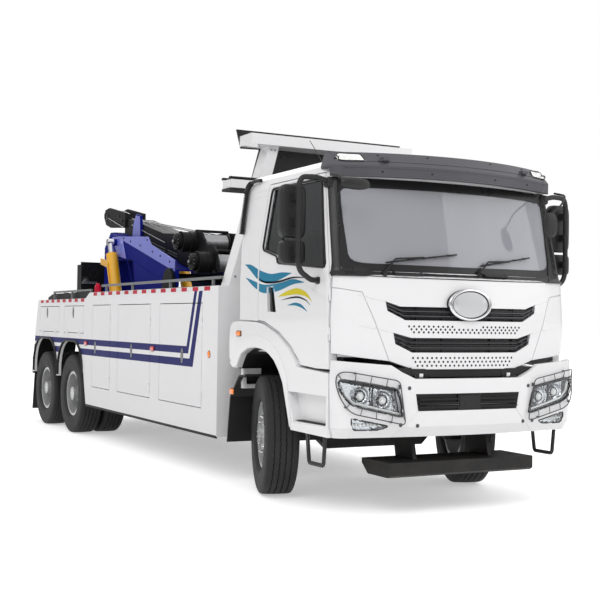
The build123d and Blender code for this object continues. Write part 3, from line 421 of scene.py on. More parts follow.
def addBlock(shape, low, high):
    low, high = Vector(low), Vector(high)
    matrix = Matrix.Translation((low + high) / 2) @ Matrix.Diagonal((*(high - low), 1))
    bmesh.ops.create_cube(shape, size=1, matrix=matrix)


def addRod(shape, start, end, radius, turns=20, endRadius=None):
    start, end = Vector(start), Vector(end)
    way = end - start
    matrix = Matrix.Translation((start + end) / 2) @ way.to_track_quat("Z", "Y").to_matrix().to_4x4()
    far = radius if endRadius is None else endRadius
    bmesh.ops.create_cone(shape, cap_ends=True, segments=turns, radius1=radius, radius2=far,
                          depth=way.length, matrix=matrix)


def addPlate(shape, outline, way):
    # A flat outline of points, made solid along way
    way = Vector(way)
    rows = [[shape.verts.new(Vector(point) + shift) for point in outline] for shift in (Vector(), way)]
    joinRows(shape, rows)
    capRows(shape, rows)


def addTurned(shape, profile, centre, axis, turns=48):
    # A closed profile of (radius, offset along axis), turned about the axis through centre
    axis = Vector(axis).normalized()
    first = axis.orthogonal().normalized()
    second = axis.cross(first)
    rings = []
    for i in range(turns):
        angle = 2 * math.pi * i / turns
        outward = first * math.cos(angle) + second * math.sin(angle)
        rings.append([shape.verts.new(Vector(centre) + outward * r + axis * o) for r, o in profile])
    joinRows(shape, rings, again=True)


def addTube(shape, points, radius, turns=10, closed=False):
    # A round bar along the points
    points = [Vector(point) for point in points]
    count = len(points)
    rings, across = [], None
    for i, point in enumerate(points):
        before = points[i - 1] if i or closed else point
        after = points[(i + 1) % count] if i < count - 1 or closed else point
        way = (after - before).normalized()
        across = (across - way * across.dot(way)).normalized() if across else way.orthogonal().normalized()
        over = way.cross(across)
        rings.append([shape.verts.new(point + (across * math.cos(a) + over * math.sin(a)) * radius)
                      for a in (2 * math.pi * k / turns for k in range(turns))])
    joinRows(shape, rings, again=closed)
    if not closed:
        capRows(shape, rings)


def addRounded(shape, centre, half, power=0.3, around=32, up=14):
    # A box with rounded corners, flatter as power gets smaller
    def bend(value):
        return math.copysign(abs(value) ** power, value)

    rows = []
    for i in range(up + 1):
        v = -math.pi / 2 + math.pi * i / up
        rise, width = bend(math.sin(v)), bend(math.cos(v)) if 0 < i < up else 0.35
        rows.append([shape.verts.new((centre[0] + half[0] * width * bend(math.cos(u)),
                                      centre[1] + half[1] * width * bend(math.sin(u)),
                                      centre[2] + half[2] * rise))
                     for u in (2 * math.pi * k / around for k in range(around))])
    joinRows(shape, rows)
    capRows(shape, rows)


def addSwept(shape, rows):
    # A bar whose cross-section is given at each place of its path
    rows = [[shape.verts.new(p) for p in row] for row in rows]
    joinRows(shape, rows)
    capRows(shape, rows)


def finishPiece(shape, name, finish, body, bevel=0.0, smooth=35, steps=2):
    # Closes the bmesh into a piece that rides on the body
    bmesh.ops.recalc_face_normals(shape, faces=shape.faces)
    mesh = bpy.data.meshes.new(name)
    for vertex in shape.verts:
        vertex.co = at(*vertex.co)
    shape.to_mesh(mesh)
    shape.free()
    mesh.shade_smooth()
    mesh.set_sharp_from_angle(angle=math.radians(smooth))
    piece = bpy.data.objects.new(name, mesh)
    bpy.context.scene.collection.objects.link(piece)
    mesh.materials.append(finishes[finish])
    if bevel:
        edge = piece.modifiers.new("edge", "BEVEL")
        edge.width = bevel / 1000
        edge.segments = steps
        edge.limit_method = "ANGLE"
        edge.angle_limit = math.radians(40)
        edge.harden_normals = True
    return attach(piece, body)


def hit(node, start, way):
    # Where a line from start meets the CAD node, in millimetres
    found, place = nodes[node].ray_cast(at(*start), Vector(way))[:2]
    return Vector((place.x * 1000, place.y * 1000 + midLength, place.z * 1000)) if found else None


def onto(names, start, way):
    # The first of the named nodes that the line meets
    places = [place for place in (hit(name, start, way) for name in names) if place]
    return min(places, key=lambda place: (place - Vector(start)).dot(Vector(way))) if places else None


def addStud(shape, place, sink, out, *sizes):
    # A rod along the truck, from sink behind the place to out before it
    addRod(shape, place + Vector((0, sink, 0)), place - Vector((0, out, 0)), *sizes)


def facing(names, x, z):
    return onto(names, (x, -400, z), (0, 1, 0))


def beside(names, side, y, z):
    return onto(names, (side * 1600, y, z), (-side, 0, 0))


def along(points, count):
    # count places at equal shares of a polyline's length
    points = [Vector(point) for point in points]
    lengths = [(b - a).length for a, b in zip(points, points[1:])]
    total = sum(lengths)
    found = []
    for k in range(count):
        left = total * k / (count - 1)
        for a, b, length in zip(points, points[1:], lengths):
            if left <= length + 1e-6:
                found.append(a.lerp(b, left / length))
                break
            left -= length
        else:
            found.append(points[-1])
    return found


def inward(side):
    # Side 0 is the front, 1 the left and -1 the right
    return Vector((0, 1, 0)) if side == 0 else Vector((-side, 0, 0))


def spotsOn(points, names, side):
    # Where (along, height) points meet the nodes; one that misses takes the depth of the nearest that doesn't
    found = [(a, z, facing(names, a, z) if side == 0 else beside(names, side, a, z)) for a, z in points]
    known = [spot for spot in found if spot[2]]
    spots = []
    for a, z, place in found:
        if place is None:
            near = min(known, key=lambda spot: abs(spot[0] - a) + abs(spot[1] - z))[2]
            place = Vector((a, near.y, z)) if side == 0 else Vector((near.x, a, z))
        spots.append(place)
    return spots


def closeNets(shape, outer, inner):
    # Two nets of vertices, one over the other, closed along their border
    joinRows(shape, outer, around=False)
    joinRows(shape, inner, around=False)
    high, wide = len(outer), len(outer[0])
    border = [(0, k) for k in range(wide)] + [(i, wide - 1) for i in range(1, high)]
    border += [(high - 1, k) for k in range(wide - 2, -1, -1)] + [(i, 0) for i in range(high - 2, 0, -1)]
    for (i, k), (m, n) in zip(border, border[1:] + border[:1]):
        shape.faces.new((outer[i][k], outer[m][n], inner[m][n], inner[i][k]))


def drape(shape, rows, names, side, out, sink=3.0):
    # Lays a net of (along, height) points on the named nodes, from sink below the surface to out above it
    wide, way = len(rows[0]), inward(side)
    spots = spotsOn([point for row in rows for point in row], names, side)
    nets = [spots[i:i + wide] for i in range(0, len(spots), wide)]
    outer, inner = ([[shape.verts.new(p + way * shift) for p in line] for line in nets] for shift in (-out, sink))
    closeNets(shape, outer, inner)


def wrapCorner(shape, side, lines, names, out, sink, columns=16):
    # A strip round a front corner of the cab: lines of (height, front x, side y)
    outer, inner = [], []
    for z, frontX, sideY in lines:
        middle = Vector((side * 850, 620, z))
        first = facing(names, side * frontX, z) - middle
        last = (beside(names, side, sideY, z) or Vector((side * 1185, sideY, z))) - middle
        outer.append([])
        inner.append([])
        for k in range(columns):
            reach = first.lerp(last, k / (columns - 1))
            way = reach.normalized()
            place = onto(names, middle + way * 900, -way) or middle + reach
            outer[-1].append(shape.verts.new(place + way * out))
            inner[-1].append(shape.verts.new(place - way * sink))
    closeNets(shape, outer, inner)


def between(first, second, wide, high=2):
    # A net between two lines, with wide places along them and high rows
    first, second = along(first, wide), along(second, wide)
    return [[a.lerp(b, i / (high - 1)) for a, b in zip(first, second)] for i in range(high)]


def strip(line, half, wide):
    # A net along a line of (along, height) points, half above it and half below
    return between([(a, z + half) for a, z in line], [(a, z - half) for a, z in line], wide, 3)


def laidLine(points, names, side, out, count):
    # Points of a line that follows the surface, out millimetres off it
    return [spot - inward(side) * out for spot in spotsOn(along(points, count), names, side)]


def laidLoop(outline, names, side, out, count):
    # The same for a closed outline
    return laidLine(outline + outline[:1], names, side, out, count)[:-1]


def rounded(points, radius, steps=4, closed=False):
    # Rounds the corners of a polyline of points in space or in the plane
    points = [Vector(point) for point in points]
    count = len(points)
    made = []
    for i, point in enumerate(points):
        if not closed and i in (0, count - 1):
            made.append(point)
            continue
        before, after = points[i - 1], points[(i + 1) % count]
        reach = min(radius, (before - point).length * 0.45, (after - point).length * 0.45)
        start = point + (before - point).normalized() * reach
        end = point + (after - point).normalized() * reach
        for k in range(steps + 1):
            t = k / steps
            made.append(start * (1 - t) ** 2 + point * 2 * t * (1 - t) + end * t ** 2)
    return made


def flipped(side, points):
    return [(side * x, *rest) for x, *rest in points]


def upright(x, points):
    # (y, z) points in the plane at x
    return [(x, y, z) for y, z in points]


sides = ((1, "left"), (-1, "right"))
axles = (("mid", 7475), ("rear", 8825))

# Tyres with four zigzag grooves and ribbed sidewalls
tyre = {
    "radius": 541, "floor": 528, "turns": 58, "zig": 4.5, "groove": 8.5, "crown": 3.5, "shoulder": 118,
    "grooves": (-78, -26, 26, 78),
    "foot": ((291, 99), (300, 101), (307, 101.5), (314, 120), (326, 133), (340, 140)),
    "wallRibs": ((352, 143), (358, 146), (366, 144.5), (412, 149.5), (418, 151), (424, 149.5),
                 (478, 148.5), (486, 150.5), (494, 148)),
    "edge": ((512, 145), (524, 139), (533, 132)),
    "sipe": ((537.5, 112), (533, 129)), "sipeSize": 1.6,
}


def tyreRing(phase):
    # One half turn of the zigzag: points of (radius, offset) across the tyre
    wall = tyre["foot"] + tyre["wallRibs"] + tyre["edge"]
    edge, floor = tyre["radius"] - tyre["crown"], tyre["floor"]
    shift, half = tyre["zig"] * phase, tyre["groove"] / 2
    across = [(edge, -tyre["shoulder"])]
    for place in tyre["grooves"]:
        crown = tyre["radius"] - tyre["crown"] * (place / 110) ** 2
        low, high = place + shift - half, place + shift + half
        across += [(crown, low - 1), (floor, low + 1.5), (floor, high - 1.5), (crown, high + 1)]
    across.append((edge, tyre["shoulder"]))
    return [(r, -o) for r, o in wall] + across + list(wall[::-1])


def addTyre(shape, centre, turn):
    count = tyre["turns"] * 2

    def place(share, r, o):
        angle = 2 * math.pi * share / count
        return turn @ (Vector(centre) + Vector((0, math.cos(angle), math.sin(angle))) * r + Vector((o, 0, 0)))

    rings = [[shape.verts.new(place(i, r, o)) for r, o in tyreRing(1 if i % 2 else -1)] for i in range(count)]
    joinRows(shape, rings, around=False, again=True)
    # Short sipes on the shoulders
    for i in range(0, count, 2):
        for side in (-1, 1):
            start, end = [place(i + 0.5, r, side * o) for r, o in tyre["sipe"]]
            addRod(shape, start, end, tyre["sipeSize"], 4)


# Wheels: centre x of the front wheel and of the outer and inner wheels behind, front axle, height, steering at rest
wheels = {"frontX": 1047.5, "outerX": 1085, "innerX": 745, "frontY": 1525, "high": 542, "pivotX": 900, "steer": -18}


def steered(side):
    pivot = Vector((side * wheels["pivotX"], wheels["frontY"], 0))
    turn = Matrix.Rotation(math.radians(wheels["steer"]), 4, "Z")
    return Matrix.Translation(pivot) @ turn @ Matrix.Translation(-pivot)


for side, sideName in sides:
    shape = bmesh.new()
    addTyre(shape, (side * wheels["frontX"], wheels["frontY"], wheels["high"]), steered(side))
    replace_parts(finishPiece(shape, f"front_tyre_tread_{sideName}", "tyreRubber", f"front_wheel_{sideName}",
                            smooth=50), f"front_tyre_{sideName}")
    for axle, y in axles:
        shape = bmesh.new()
        for x in (wheels["outerX"], wheels["innerX"]):
            addTyre(shape, (side * x, y, wheels["high"]), Matrix())
        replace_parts(finishPiece(shape, f"{axle}_tyre_tread_{sideName}", "tyreRubber", f"{axle}_wheels_{sideName}",
                                smooth=50), f"{axle}_tyres_{sideName}")
print("tyres made")

# Wheel nuts and hub bolts: seats are how far out they stand from the wheel's centre
nuts = {"count": 10, "ring": 167.5, "size": 17, "stud": 11, "frontSeat": 87, "rearSeat": -88}
hubBolts = {"count": 8, "ring": 66, "size": 9, "frontSeat": 146, "rearSeat": 125}


def ring(count, radius, start=0.0):
    # Spokes to evenly spaced places round the X axis
    angles = (2 * math.pi * (i + start) / count for i in range(count))
    return [Vector((0, radius * math.cos(a), radius * math.sin(a))) for a in angles]


def dressWheel(name, body, centre, side, seat, turn):
    shape = bmesh.new()
    outward = Vector((side, 0, 0))

    def addPin(foot, low, high, *sizes):
        addRod(shape, turn @ (foot + outward * low), turn @ (foot + outward * high), *sizes)

    for spoke in ring(nuts["count"], nuts["ring"]):
        foot = Vector(centre) + spoke + outward * nuts[seat]
        addPin(foot, 0, 5, nuts["size"] + 6, 20, nuts["size"] + 4)
        addPin(foot, 5, 30, nuts["size"], 6, nuts["size"] - 1)
        addPin(foot, 30, 46, nuts["stud"], 12, nuts["stud"] - 2)
    for spoke in ring(hubBolts["count"], hubBolts["ring"], 0.5):
        addPin(Vector(centre) + spoke + outward * hubBolts[seat], 0, 9, hubBolts["size"], 6)
    finishPiece(shape, f"wheel_nuts_{name}", "brightSteel", body, bevel=0.8)


for side, sideName in sides:
    centre = (side * wheels["frontX"], wheels["frontY"], wheels["high"])
    dressWheel(f"front_{sideName}", f"front_wheel_{sideName}", centre, side, "frontSeat", steered(side))
    for axle, y in axles:
        centre = (side * wheels["outerX"], y, wheels["high"])
        dressWheel(f"{axle}_{sideName}", f"{axle}_wheels_{sideName}", centre, side, "rearSeat", Matrix())
print("wheels dressed")

# Reflective tape along the body's top edge. Runs: start, pitch, number of red blocks, height
tape = {"runs": ((2622, 306.8, 13, 1881), (6859, 295, 8, 1808)), "block": 150, "height": 42, "thick": 0.8}
bodyX = 1250  # Half the width of the body
for side, sideName in sides:
    for colour, finish, shift in (("red", "redPaint", 0), ("white", "whiteFilm", tape["block"])):
        shape = bmesh.new()
        for start, pitch, count, bottom in tape["runs"]:
            length = pitch - tape["block"] if shift else tape["block"]
            for i in range(count - 1 if shift else count):
                y = start + pitch * i + shift
                addBlock(shape, (side * bodyX - 0.2, y, bottom),
                         (side * (bodyX + tape["thick"]), y + length, bottom + tape["height"]))
        finishPiece(shape, f"edge_tape_{colour}_{sideName}", finish, "chassis")

# Oval latches, one on each locker door. Places: body, centre y, centre z. Rim and cup: share of the size, way out
latch = {
    "places": (("locker_door_fore", 3343, 1207), ("locker_door_mid", 4942, 1210), ("locker_door_aft", 6346, 1209),
               ("locker_flap_front", 7352, 1662), ("locker_flap_rear", 8686, 1663)),
    "tall": 78, "wide": 31, "turns": 32,
    "rim": ((0.78, 6), (0.94, 6), (1.0, 4), (1.0, 0)), "cup": ((0.02, 1.5), (0.8, 1.5)),
}


def addOval(shape, loops, side, y, z):
    angles = [2 * math.pi * k / latch["turns"] for k in range(latch["turns"])]
    joinRows(shape, [[shape.verts.new((side * (bodyX + out), y + latch["wide"] * share * math.cos(a),
                                       z + latch["tall"] * share * math.sin(a))) for a in angles]
                     for share, out in loops])


for side, sideName in sides:
    for body, y, z in latch["places"]:
        shape = bmesh.new()
        cup = bmesh.new()
        addOval(shape, latch["rim"], side, y, z)
        addOval(cup, latch["cup"], side, y, z)
        # The pull and its lock barrel
        addBlock(shape, (side * 1251, y - 10, z - 48), (side * 1257, y + 10, z + 30))
        addRod(shape, (side * 1251, y, z + 46), (side * 1259, y, z + 46), 11, 16)
        finishPiece(shape, f"latch_{body}_{sideName}", "dullSteel", f"{body}_{sideName}", bevel=1.2)
        finishPiece(cup, f"latch_cup_{body}_{sideName}", "satinBlack", f"{body}_{sideName}")
print("body side dressed")

# Black surround of the windshield: outer x and height, inner x and height, from bottom centre round to the top
surround = (
    (0, 1950, 0, 2062), (300, 1950, 300, 2063), (600, 1952, 600, 2066), (850, 1956, 850, 2068),
    (960, 1962, 940, 2072), (1020, 1966, 1000, 2084), (1060, 1974, 1032, 2106), (1090, 2030, 1048, 2144),
    (1090, 2150, 1053, 2250), (1090, 2350, 1060, 2400), (1090, 2550, 1064, 2560), (1090, 2700, 1060, 2664),
    (1090, 2782, 1030, 2692), (900, 2784, 850, 2704), (600, 2785, 600, 2706), (300, 2786, 300, 2708),
    (0, 2786, 0, 2709))
cabFront = ("windshield", "cab_shell", "cab_nose")
shape = bmesh.new()
for side in (1, -1):
    rows = []
    for here, there in zip(surround, surround[1:]):
        for t in (0, 1 / 3, 2 / 3):
            x, z, innerX, innerZ = (a + (b - a) * t for a, b in zip(here, there))
            rows.append([(side * (x + (innerX - x) * k / 4), z + (innerZ - z) * k / 4) for k in range(5)])
    rows.append([(0, z) for z in (2786, 2767, 2748, 2729, 2709)])
    drape(shape, rows, cabFront, 0, 5, 7)
finishPiece(shape, "windshield_surround", "satinBlack", "cab", bevel=1.5, smooth=40)

# Wipers: pivot, elbow, middle and ends of the blade. Stands are how far off the glass they run
wipers = {
    "places": (((-780, 1985), (-660, 2112), (-400, 2130), (-738, 2080), (-60, 2168)),
               ((155, 2015), (262, 2118), (505, 2130), (190, 2082), (785, 2178))),
    "armSize": 8, "armStand": 36, "elbowStand": 42, "bladeSize": 7, "bladeStand": 25,
    "rubberSize": 5, "rubberStand": 13, "clips": (0.12, 0.34, 0.5, 0.66, 0.88),
}
shape = bmesh.new()
rubber = bmesh.new()
for pivot, elbow, middle, start, end in wipers["places"]:
    foot = facing(cabFront, *pivot)
    addRod(shape, foot + Vector((0, 6, 0)), foot - Vector((0, 34, 6)), 24, 24, 18)
    arm = laidLine((pivot, elbow), cabFront, 0, wipers["armStand"], 5)
    arm += laidLine((elbow, middle), cabFront, 0, wipers["elbowStand"], 6)[1:]
    addTube(shape, arm, wipers["armSize"], 8)
    addTube(shape, laidLine((pivot, (pivot[0] + 20, pivot[1] + 22)), cabFront, 0, 34, 2), 15, 10)
    addTube(shape, laidLine((start, end), cabFront, 0, wipers["bladeStand"], 14), wipers["bladeSize"], 6)
    addTube(rubber, laidLine((start, end), cabFront, 0, wipers["rubberStand"], 14), wipers["rubberSize"], 6)
    for t in wipers["clips"]:
        base = facing(cabFront, *(a + (b - a) * t for a, b in zip(start, end)))
        addBlock(shape, base + Vector((-14, -34, -7)), base + Vector((14, -12, 7)))
# Grab handles on the cowl below the wipers
cowlHandles = {"places": ((-560, 1987), (330, 1996)), "half": 125, "stand": 32, "size": 11}
for x, z in cowlHandles["places"]:
    ends = [facing(cabFront, x + way * cowlHandles["half"], z) for way in (-1, 1)]
    out = Vector((0, -cowlHandles["stand"], 0))
    addTube(shape, rounded((ends[0], ends[0] + out, ends[1] + out, ends[1]), 22), cowlHandles["size"], 10)
    for end in ends:
        addStud(shape, end, 4, 10, 19, 16, 15)
finishPiece(shape, "wiper_arms", "satinBlack", "cab", smooth=45)
finishPiece(rubber, "wiper_blades", "sealRubber", "cab")

# Blank oval badge: silver ring, dark gap, silver face
badge = {
    "centre": (0, 12, 1742), "tall": 0.61,
    "rim": ((219, -6), (219, 9), (214, 14), (200, 17), (191, 14), (187, 4), (187, -6)),
    "face": ((178, -3), (178, 8), (172, 12), (120, 14), (2, 15), (2, -3)),
}
for part, finish in (("rim", "brightSteel"), ("face", "silverFace")):
    shape = bmesh.new()
    addTurned(shape, badge[part], badge["centre"], (0, -1, 0), 72)
    for vertex in shape.verts:
        vertex.co.z = badge["centre"][2] + (vertex.co.z - badge["centre"][2]) * badge["tall"]
    finishPiece(shape, f"badge_{part}", finish, "cab")

# Round vent holes in the nose. Rows: height, first x, pitch, half-width of the gap in the middle
vents = {"rows": ((1556, 575, 45.6, 150), (1532, 552.2, 45.6, 0), (1508, 529.4, 45.6, 0),
                  (1296, 530, 44.2, 0), (1264, 507.9, 44.2, 0), (1232, 485.8, 44.2, 0)), "size": 9.5}
nose = ("cab_nose",)
shape = bmesh.new()
for z, reach, pitch, gap in vents["rows"]:
    for k in range(int(2 * reach / pitch) + 1):
        x = -reach + pitch * k
        place = None if abs(x) < gap else facing(nose, x, z)
        if place:
            addStud(shape, place, 3, 0.9, vents["size"], 12)
finishPiece(shape, "nose_vents", "satinBlack", "cab")

# Bent bars and ribs in the two grille openings: top line and bottom line of each opening
grille = {
    "openings": ((((-780, 1758), (-650, 1717), (650, 1717), (780, 1758)),
                  ((-766, 1680), (-610, 1605), (610, 1605), (766, 1680))),
                 (((-715, 1503), (-550, 1461), (550, 1461), (715, 1503)),
                  ((-694, 1410), (-540, 1340), (540, 1340), (694, 1410)))),
    "bars": (0.34, 0.67), "barSize": 4.5, "ribs": (-500, -250, 250, 500), "mesh": 46, "meshReach": 600,
}
bars = bmesh.new()
ribs = bmesh.new()


def nearNose(x, z):
    # Depth of the nose's surface beside an opening
    found = [place.y for place in (facing(nose, x, level) for level in (1575, 1320)) if place]
    return Vector((x, found[0] if z > 1550 else found[-1], z))


for top, bottom in grille["openings"]:
    for share in grille["bars"]:
        corners = [Vector(a).lerp(Vector(b), share) for a, b in zip(top, bottom)]
        corners[0].x += 6
        corners[-1].x -= 6
        line = [a.lerp(b, k / 9) for a, b in zip(corners, corners[1:]) for k in range(9)] + corners[-1:]
        addTube(bars, [nearNose(*point) + Vector((0, 9, 0)) for point in line], grille["barSize"], 8)
    # Ribs, and the fine mesh behind the bars
    mesh = [-grille["meshReach"] + k * 2 * grille["meshReach"] / (grille["mesh"] - 1) for k in range(grille["mesh"])]
    for places, half, low, high, over in ((grille["ribs"], 3, 8, 30, 2), (mesh, 1.2, 22, 26, -2)):
        for x in places:
            y = nearNose(x, top[1][1]).y
            addBlock(ribs, (x - half, y + low, bottom[1][1] - over), (x + half, y + high, top[1][1] + over))
finishPiece(bars, "grille_bars", "visorPlastic", "cab", smooth=60)
finishPiece(ribs, "grille_ribs", "satinBlack", "cab")

# Raised lines pressed in the nose and the bumper, on one side: node and lines of (x, height)
creases = {"cab": ("cab_nose", (((786, 1762), (1010, 1806)), ((722, 1508), (1010, 1560)))),
           "chassis": ("bumper", (((512, 858), (560, 800), (722, 664)),))}
for body, (node, lines) in creases.items():
    shape = bmesh.new()
    for line in lines:
        for side in (-1, 1):
            drape(shape, strip(flipped(side, line), 6, 10), (node,), 0, 3.5, 3)
    finishPiece(shape, f"pressed_lines_{body}", "whitePaint", body, bevel=2.5)

# Parking sensors on the bumper
sensors = {"places": ((-595, 1052), (640, 1055), (-510, 743), (590, 748), (-665, 752), (700, 752)),
           "profile": ((1, 3), (8, 3.4), (9, 1.2), (11, 1.2), (12, 3.6), (16, 2.6), (17, -2), (1, -2))}
shape = bmesh.new()
for x, z in sensors["places"]:
    place = facing(("bumper",), x, z)
    if place:
        addTurned(shape, sensors["profile"], place, (0, -1, 0), 24)
finishPiece(shape, "parking_sensors", "greyPlastic", "chassis")

# Lower intake: blank block in the middle, measured from the bumper's face, and two bars of (height, reach)
intake = {"blocks": (((-118, 12, 868), (118, 40, 992)), ((-104, 6, 882), (104, 12, 978))),
          "bars": ((910, 514), (956, 522)), "barSize": 5.5}
face = facing(("bumper",), 0, 1040)
shape = bmesh.new()
for low, high in intake["blocks"]:
    addBlock(shape, *((x, face.y + y, z) for x, y, z in (low, high)))
finishPiece(shape, "intake_block", "satinBlack", "chassis", bevel=5)
shape = bmesh.new()
for z, reach in intake["bars"]:
    for side in (1, -1):
        line = [(side * x, face.y + 16 + 22 * (x / 520) ** 2, z) for x in (110, 240, 380, reach)]
        addTube(shape, line, intake["barSize"], 8)
finishPiece(shape, "intake_bars", "greyPlastic", "chassis", smooth=60)

# Painted shade: black strips behind the joint between the nose and the bumper, standing for the shade in the deep gap:
# strips from x to x, with plates at the hinges
gapShade = {"strips": ((-372, 372), (548, 720), (-720, -548)), "hinge": (372, 548), "cover": (425, 500)}
shape = bmesh.new()
for low, high in gapShade["strips"]:
    addBlock(shape, (low, 66, 1136), (high, 71, 1216))
for side in (1, -1):
    place = facing(("bumper", "cab_nose", "frame_rails", "cab_shell"), side * 460, 1180)
    if place:
        near, far = gapShade["hinge"]
        addBlock(shape, (side * near, place.y - 9, 1152), (side * far, place.y - 4, 1206))
finishPiece(shape, "nose_gap_shade_plates", "sealRubber", "cab")
# Black plates over the hinge brackets below the gap: painted shade
shape = bmesh.new()
for side in (1, -1):
    place = onto(("bumper", "frame_rails", "cab_shell"), (side * 462, 70, 1152), (0, 1, 0))
    if place:
        near, far = gapShade["cover"]
        addBlock(shape, (side * near, place.y - 9, 1110), (side * far, place.y - 5, 1160))
finishPiece(shape, "hinge_shade_plates", "sealRubber", "chassis")
print("nose dressed")

# Headlamps and fog lamps, outlines on the truck's left: top line and bottom line from the inner edge outwards
headlamp = {
    "top": ((705, 1047), (1195, 1130)), "bottom": ((645, 815), (1093, 913), (1172, 985), (1208, 1080)),
    "fogTop": ((775, 746), (1102, 814)), "fogBottom": ((843, 714), (1074, 717), (1096, 752)),
    "bowls": ((1010, 988, 74), (815, 952, 78)),  # x, height, radius
    "bowl": ((1, 30), (0.97, 33), (0.93, 30), (0.8, 12), (0.55, 2), (0.5, -1), (0.5, -4), (1, -4)),
    "bulb": ((1, 27), (14, 25.5), (26, 20), (33, 9), (35, 0), (1, 0)),
    "bulbRim": ((36, 14), (41, 14), (41, 2), (36, 2)),
    "guide": ((672, 842), (1080, 936), (1142, 1000), (1170, 1080)), "brow": ((712, 1030), (1170, 1108)),
    "divider": ((908, 1062), (916, 968), (900, 888)), "dots": 9,
    "guard": ((698, 1112), (1148, 1186), (1196, 1184), (1222, 1160), (1227, 1105), (1217, 1035), (1196, 965),
              (1150, 890), (1088, 848), (634, 752)), "guardStand": 26, "guardCount": 110,
}
lampNodes = ("headlamps", "bumper")
lampOnly = lampNodes[:1]
lens = bmesh.new()
for side, sideName in sides:
    main = [flipped(side, headlamp[key]) for key in ("top", "bottom")]
    fog = [flipped(side, headlamp[key]) for key in ("fogTop", "fogBottom")]
    mainEdge, fogEdge = (rounded(top + bottom[::-1], radius, closed=True)
                         for (top, bottom), radius in ((main, 34), (fog, 14)))
    chrome, glow, dark, wire = (bmesh.new() for part in range(4))
    for lines in (main, fog):
        drape(lens, between(*lines, 14, 8), lampOnly, 0, 1.5, 2.5)
    drape(chrome, between(*main, 12, 6), lampOnly, 0, -46, 50)
    drape(chrome, between(*fog, 10, 4), lampOnly, 0, -34, 38)
    for x, z, radius in headlamp["bowls"]:
        aim = Vector((side * 0.10, -1, 0)).normalized()
        seat = facing(lampOnly, side * x, z) - aim * 44
        addTurned(chrome, [(radius * share, offset) for share, offset in headlamp["bowl"]], seat, aim, 40)
        addTurned(glow, headlamp["bulb"], seat, aim, 32)
        addTurned(dark, headlamp["bulbRim"], seat, aim, 32)
        for k in range(5):
            corner = Vector((radius * 0.9, -25, radius * (k * 0.45 - 0.9)))
            addBlock(chrome, seat + corner * Vector((-1, 1, 1)) - Vector((0, 1, 1)), seat + corner + Vector((0, 1, 1)))
    # Light guide along the lower and outer edges, and a brow along the top
    addTube(glow, laidLine(flipped(side, headlamp["guide"]), lampOnly, 0, -16, 24), 10, 8)
    addTube(dark, laidLine(flipped(side, headlamp["brow"]), lampOnly, 0, -12, 12), 9, 8)
    addTube(dark, laidLine(flipped(side, headlamp["divider"]), lampOnly, 0, -18, 8), 8, 8)
    for k in range(headlamp["dots"]):
        t = (k + 0.5) / headlamp["dots"]
        place = facing(lampOnly, side * (800 + 290 * t), 728 + 6 * t + 26)
        if place:
            addStud(glow, place, 28, -12, 13, 12, 8)
    addTube(dark, laidLoop(mainEdge, lampNodes, 0, 4, 90), 8, 8, closed=True)
    addTube(dark, laidLoop(fogEdge, lampNodes, 0, 1, 60), 5, 6, closed=True)
    finishPiece(chrome, f"lamp_reflectors_{sideName}", "lampChrome", "chassis", smooth=30)
    finishPiece(glow, f"lamp_guides_{sideName}", "whiteLens", "chassis", smooth=50)
    finishPiece(dark, f"lamp_frames_{sideName}", "satinBlack", "chassis", smooth=60)
    # Wire guard on stand-offs
    stand, count = headlamp["guardStand"], headlamp["guardCount"]
    loop = rounded(flipped(side, headlamp["guard"]), 40, closed=True)
    path = laidLoop(loop, ("bumper", "headlamps"), 0, stand, count)
    inner = laidLoop(mainEdge, lampNodes, 0, stand, count)
    addTube(wire, path, 5, 8, closed=True)
    addTube(wire, inner, 4.5, 8, closed=True)
    for k in range(0, count, 9):
        near = min(inner, key=lambda point: (point - path[k]).length)
        addTube(wire, (path[k], near), 3.5, 6)
        if k % 27 == 0:
            addRod(wire, path[k], path[k] + Vector((0, 32, 0)), 8, 10)
    finishPiece(wire, f"lamp_guard_{sideName}", "greyPlastic", "chassis", smooth=60)
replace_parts(finishPiece(lens, "lamp_lenses", "clearLens", "chassis", smooth=40), "headlamps")
print("lamps made")

# Visor: end lamps, screws, and pressed grooves at two heights
visor = {"lamp": ((885, 2920), (900, 2982), (1070, 2985), (1090, 2975), (1098, 2928), (1080, 2918)),
         "screws": ((-760, -330, 330, 760), (2830, 2975)), "ribs": (2868, 2925), "ribReach": (10, 1060)}
visorOnly = ("sun_visor",)
shape = bmesh.new()
trim = bmesh.new()
for side in (1, -1):
    edge = flipped(side, visor["lamp"])
    drape(shape, between(edge[1:4], (edge[0], edge[5], edge[4]), 12, 6), visorOnly, 0, 7, 8)
    addTube(trim, laidLoop(rounded(edge, 14, closed=True), visorOnly, 0, 6, 40), 5, 8, closed=True)
for x in visor["screws"][0]:
    for z in visor["screws"][1]:
        place = facing(visorOnly, x, z)
        if place:
            addStud(trim, place, 4, 5, 9, 12, 7)
finishPiece(shape, "visor_lamps", "whiteLens", "cab")
finishPiece(trim, "visor_screws", "satinBlack", "cab")
shape = bmesh.new()
for z in visor["ribs"]:
    for way in (-1, 1):
        drape(shape, strip([(way * x, z) for x in visor["ribReach"]], 8, 24), visorOnly, 0, 4, 3)
finishPiece(shape, "visor_ribs", "visorPlastic", "cab", bevel=3)
print("visor dressed")

